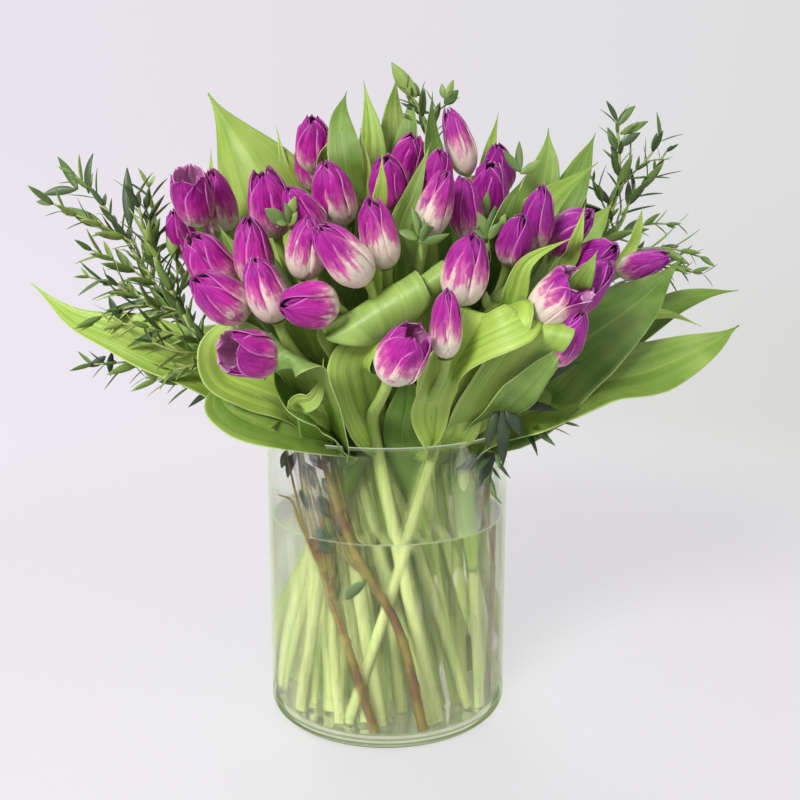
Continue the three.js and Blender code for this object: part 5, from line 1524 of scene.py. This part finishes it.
# %% Build the leafing tree
def random_each(tree, seed, low, high):
    """A random number for each point, between two values or sockets."""
    node = add_node(tree, "FunctionNodeRandomValue", links={"Seed": seed})
    for index, value in ((2, low), (3, high)):
        if isinstance(value, bpy.types.NodeSocket):
            tree.links.new(value, node.inputs[index])
        else:
            node.inputs[index].default_value = value
    return node.outputs[1]


leafing, given = new_tree("pairs_of_leaves", {
    "Pair": "NodeSocketObject", "Spacing": "NodeSocketFloat", "Seed": "NodeSocketInt",
    "Tip size": "NodeSocketFloat", "Darkest": "NodeSocketFloat", "Lightest": "NodeSocketFloat",
    "Finish": "NodeSocketMaterial"})
spaced = add_node(leafing, "GeometryNodeResampleCurve", links={"Curve": given["Geometry"]}, mode="LENGTH")
leafing.links.new(given["Spacing"], spaced.inputs[3])
tangent = leafing.nodes.new("GeometryNodeInputTangent").outputs["Tangent"]
stand = add_node(leafing, "FunctionNodeAlignRotationToVector", links={"Vector": tangent}, axis="Z")
index = leafing.nodes.new("GeometryNodeInputIndex").outputs["Index"]
quarter = math_node(leafing, "MULTIPLY", index, math.pi / 2)
jitter = random_each(leafing, given["Seed"], -0.45, 0.45)
spin = math_node(leafing, "ADD", quarter, jitter)
nod = random_each(leafing, math_node(leafing, "ADD", given["Seed"], 5), -0.35, 0.35)
swing = add_node(leafing, "ShaderNodeCombineXYZ", links={"X": nod, "Z": spin}).outputs["Vector"]
by = add_node(leafing, "FunctionNodeEulerToRotation", links={"Euler": swing}).outputs["Rotation"]
turns = {"Rotation": stand.outputs["Rotation"], "Rotate By": by}
turned_pair = add_node(leafing, "FunctionNodeRotateRotation", links=turns, rotation_space="LOCAL")
factor = leafing.nodes.new("GeometryNodeSplineParameter").outputs["Factor"]
shrink = {"Value": factor, "To Max": given["Tip size"]}
size = add_node(leafing, "ShaderNodeMapRange", {"To Min": 1.0}, shrink).outputs["Result"]
vary = random_each(leafing, math_node(leafing, "ADD", given["Seed"], 9), 0.5, 1.15)
scale = math_node(leafing, "MULTIPLY", size, vary)
pair_in = add_node(leafing, "GeometryNodeObjectInfo", {"As Instance": True}, {"Object": given["Pair"]})
standing = add_node(leafing, "GeometryNodeInstanceOnPoints", links={
    "Points": spaced.outputs["Curve"], "Instance": pair_in.outputs["Geometry"],
    "Rotation": turned_pair.outputs["Rotation"], "Scale": scale})
hue_seed = math_node(leafing, "ADD", given["Seed"], 2)
hue = random_each(leafing, hue_seed, given["Darkest"], given["Lightest"])
coloured = add_node(leafing, "GeometryNodeStoreNamedAttribute", {"Name": "tone"},
                    {"Geometry": standing.outputs["Instances"], "Value": hue}, domain="INSTANCE")
close_tree(leafing, coloured.outputs["Geometry"], given["Finish"])
print("leafing tree:", len(leafing.nodes), "nodes")

# %% Grow the sprays
TWIG_SIDES = 9
PAIR_SPACING = 8.5
TIP_SIZE = 0.62                  # the last pair's size beside the first one's
FIRST_SEED = 20
DARKEST_LEAF = 0.1
LIGHTEST_LEAF = {"right": 0.65, "low_right": 0.5, "top": 0.8}    # painted shade: the sprays at the right, away from the light, keep to darker leaves, the top one a little; the others go up to 1
MAIN_STEPS = 300
FORK_STEPS = 60
LEAFY_STEPS = 40
SIDE_STEPS = 14


def twig_route(points, start, count):
    """So many points along a twig, from a start between 0 and 1 to its end."""
    return through_points(points, np.linspace(start, 1, count))


def along_share(points, share):
    """The curve parameter at which this share of the route's length lies behind."""
    t = np.linspace(0, 1, 200)
    steps = np.linalg.norm(np.diff(through_points(points, t), axis=0), axis=1)
    return float(np.interp(share, np.concatenate([[0], np.cumsum(steps)]) / steps.sum(), t))


def ringed(route):
    """A girth factor with a small ring at every node of the twig."""
    steps = np.linalg.norm(np.diff(route, axis=0), axis=1)
    length = np.concatenate([[0], np.cumsum(steps)])
    away = np.abs((length + NODE_EVERY / 2) % NODE_EVERY - NODE_EVERY / 2)
    return 1 + 0.35 * np.exp(-((away / 1.8) ** 2)) * (length > NODE_EVERY / 2)


leaf_pair = pair_object()
for number, spray in enumerate(SPRAYS):
    main = twig_route(spray.route, 0, MAIN_STEPS)
    twigs = [(main, np.linspace(1.0, 0.22, len(main)) * ringed(main))]
    for fork in spray.forks:
        route = twig_route(fork, 0, FORK_STEPS)
        twigs.append((route, np.linspace(0.42, 0.16, len(route)) * ringed(route)))
    first_leaf = along_share(spray.route, spray.bare)
    leafy = [(twig_route(spray.route, first_leaf, LEAFY_STEPS), np.ones(LEAFY_STEPS))]
    for side in spray.branches:
        route = twig_route(side, 0, SIDE_STEPS)
        twigs.append((route, np.linspace(SIDE_TWIG_SHARE * 0.7, 0.2, len(route))))
        leafy.append((route, np.ones(len(route))))
    sizes = {"Radius": TWIG_RADIUS * MM, "Sides": TWIG_SIDES, "Finish": twig_material}
    wood = through_tree(path_object("twigs", twigs), rods_tree, sizes)
    wood.name = f"eucalyptus_twigs_{spray.name}"
    finished(wood.name, wood, "eucalyptus", f"eucalyptus_{spray.name}")
    leaves = through_tree(path_object("leafy", leafy), leafing, {
        "Pair": leaf_pair, "Spacing": PAIR_SPACING * MM, "Seed": FIRST_SEED + number,
        "Tip size": TIP_SIZE,
        "Darkest": DARKEST_LEAF, "Lightest": LIGHTEST_LEAF.get(spray.name, 1.0),
        "Finish": eucalyptus_material})
    leaves.name = f"eucalyptus_leaves_{spray.name}"
    finished(leaves.name, leaves, "eucalyptus", f"eucalyptus_{spray.name}")
    print(wood.name, len(wood.polygons), "faces,", leaves.name, len(leaves.polygons), "faces")
bpy.data.objects.remove(leaf_pair)

# %% [markdown]
# ## Leaves that stand out
# Some eucalyptus leaves are seen one by one: the long ones against the ground at the left, the dark
# rosette that hangs over the rim at the right, the pairs that stick out between the blooms, and the
# dark ones pressed against the glass inside. More seeds could be tried until the tree set them there,
# but placing them is surer. Each row is the leaf's foot, its tip, its width, and how light it is.

# %% Single leaves
SINGLE_THICKNESS = 0.5
SINGLE_ROWS = 12
SINGLE_LEAVES = {
    "left": [
        ([-239, -22, 428], [-253, -22, 453], 7, 0.3), ([-230, -24, 425], [-225, -24, 455], 6, 0.15),
        ([-197, -34, 399], [-198, -30, 444], 9, 0.1), ([-214, -44, 400], [-239, -46, 414], 10, 0.55),
        ([-240, -22, 428], [-266, -24, 424], 7, 0.2), ([-181, -40, 376], [-179, -36, 414], 9, 0.45),
        ([-198, -74, 333], [-204, -74, 349], 6, 0.1), ([-175, -66, 346], [-212, -72, 334], 6, 0.25),
        ([-213, -60, 303], [-227, -60, 295], 6, 0.0), ([-208, -60, 306], [-210, -60, 288], 5, 0.0),
        ([-161, -40, 373], [-167, -36, 400], 8, 0.7), ([-157, -44, 352], [-146, -40, 378], 8, 0.3),
        ([-70, -62, 229], [-77, -64, 209], 8, 0.0), ([-64, -68, 222], [-55, -70, 201], 9, 0.0),
        ([-53, -72, 197], [-41, -74, 178], 10, 0.0), ([-44, -76, 163], [-56, -76, 172], 10, 0.05),
        ([-41, -76, 166], [-29, -76, 177], 9, 0.0), ([-50, -70, 210], [-38, -74, 194], 9, 0.1),
        ([-59, -64, 234], [-50, -68, 216], 8, 0.05), ([-67, -70, 201], [-59, -72, 184], 7, 0.0),
        ([-53, -76, 163], [-41, -78, 154], 9, 0.05), ([-77, -60, 230], [-82, -62, 216], 7, 0.1),
        ([-32, -84, 119], [-15, -84, 134], 9, 0.3),
    ],
    "right": [
        ([188, 20, 484], [178, 20, 501], 4, 0.1), ([188, 20, 481], [202, 20, 497], 7, 0.4),
        ([190, 20, 475], [213, 20, 485], 7, 0.55), ([191, 20, 465], [207, 20, 476], 7, 0.2),
        ([188, 20, 462], [180, 20, 480], 7, 0.3), ([190, 20, 448], [183, 20, 465], 8, 0.15),
        ([186, 20, 418], [169, 20, 438], 6, 0.0), ([183, 20, 410], [163, 20, 419], 6, 0.0),
    ],
    "top": [
        ([24, 2, 501], [4, 2, 527], 12, 0.75), ([26, 4, 502], [18, 4, 514], 6, 0.6),
        ([35, 6, 489], [11, 4, 497], 4, 0.2), ([46, 7, 499], [53, 7, 515], 6, 0.7),
        ([46, 7, 496], [57, 7, 507], 9, 0.3), ([45, 7, 501], [44, 7, 512], 5, 0.7),
        ([-67, -132, 400], [-80, -136, 410], 10, 0.45), ([-66, -134, 403], [-60, -136, 418], 7, 0.7),
        ([-65, -134, 401], [-67, -138, 414], 5, 0.5), ([-66, -132, 399], [-59, -136, 408], 6, 0.65),
        ([-66, -134, 400], [-73, -136, 401], 5, 0.5),
        ([21, -136, 390], [7, -136, 396], 7, 0.6), ([21, -136, 388], [42, -134, 394], 6, 0.5),
        ([25, -136, 392], [30, -134, 413], 9, 0.45), ([21, -136, 391], [16, -134, 412], 5, 0.6),
        ([22, -138, 390], [27, -138, 401], 5, 0.4), ([22, -136, 387], [23, -134, 375], 3, 0.7),
        ([98, -60, 439], [85, -60, 455], 6, 0.4), ([98, -60, 439], [97, -60, 461], 6, 0.45),
        ([98, -60, 438], [114, -60, 448], 7, 0.7), ([64, -100, 402], [59, -102, 418], 8, 0.6),
        ([65, -100, 402], [70, -102, 423], 8, 0.5), ([84, -128, 383], [81, -130, 402], 6, 0.9),
        ([84, -128, 383], [90, -130, 404], 8, 0.6), ([65, -140, 342], [83, -138, 362], 8, 0.9),
        ([68, -130, 391], [60, -132, 408], 7, 0.5), ([68, -130, 391], [72, -132, 412], 8, 0.35),
        ([68, -130, 390], [77, -132, 402], 6, 0.6), ([68, -130, 391], [58, -132, 396], 6, 0.4),
        ([68, -130, 388], [64, -132, 379], 5, 0.5), ([75, -128, 395], [79, -130, 407], 6, 0.7),
        ([66, -140, 344], [66, -140, 356], 6, 0.8), ([70, -140, 350], [78, -142, 357], 8, 0.7),
    ],
    "low_right": [
        ([84, -112, 276], [134, -118, 306], 8, 0.0), ([84, -114, 275], [121, -118, 271], 7, 0.0),
        ([84, -114, 274], [95, -116, 252], 9, 0.0), ([82, -114, 272], [83, -112, 230], 9, 0.0),
        ([80, -112, 273], [72, -110, 242], 8, 0.05), ([88, -112, 281], [108, -118, 293], 8, 0.05),
        ([87, -64, 238], [52, -62, 213], 10, 0.0), ([85, -62, 241], [69, -60, 196], 9, 0.0),
        ([80, -110, 276], [89, -114, 261], 9, 0.1),
    ],
}


def single_leaf(foot, tip, width, tone_value, draw):
    """A slim keeled blade from its foot to its tip, bowed a little and turned a little to a side."""
    foot, tip = np.array(foot, float), np.array(tip, float)
    t = np.linspace(0, 1, SINGLE_ROWS)[:, None]
    along = tip - foot
    length = np.linalg.norm(along)
    facing = np.array([draw.uniform(-0.5, 0.5), -1, draw.uniform(-0.3, 0.6)])
    side = unit(np.cross(along, facing))
    out = unit(np.cross(side, along))
    sag = draw.uniform(-0.10, 0.14) * length * t * (1 - t) * 2
    bow = draw.uniform(-0.10, 0.10) * length * t * (1 - t) * 2
    rib = foot + along * t + out * sag + side * bow
    half = width / 2 * np.sin(math.pi * t.clip(0.02, 0.985) ** 0.85) ** 0.85
    left = rib - side * half + out * half * 0.25
    right = rib + side * half + out * half * 0.25
    middle = np.stack([left, rib, right], axis=1)
    return blade(middle, SINGLE_THICKNESS, {"tone": tone_value})


# %% Set the single leaves
random_single = random.Random(8)
for name, rows in SINGLE_LEAVES.items():
    shape = merged([single_leaf(*row, random_single) for row in rows])
    new_piece(f"eucalyptus_single_{name}", shape, eucalyptus_material, "eucalyptus", f"eucalyptus_{name}")
    print(f"eucalyptus_single_{name}", len(rows), "leaves")
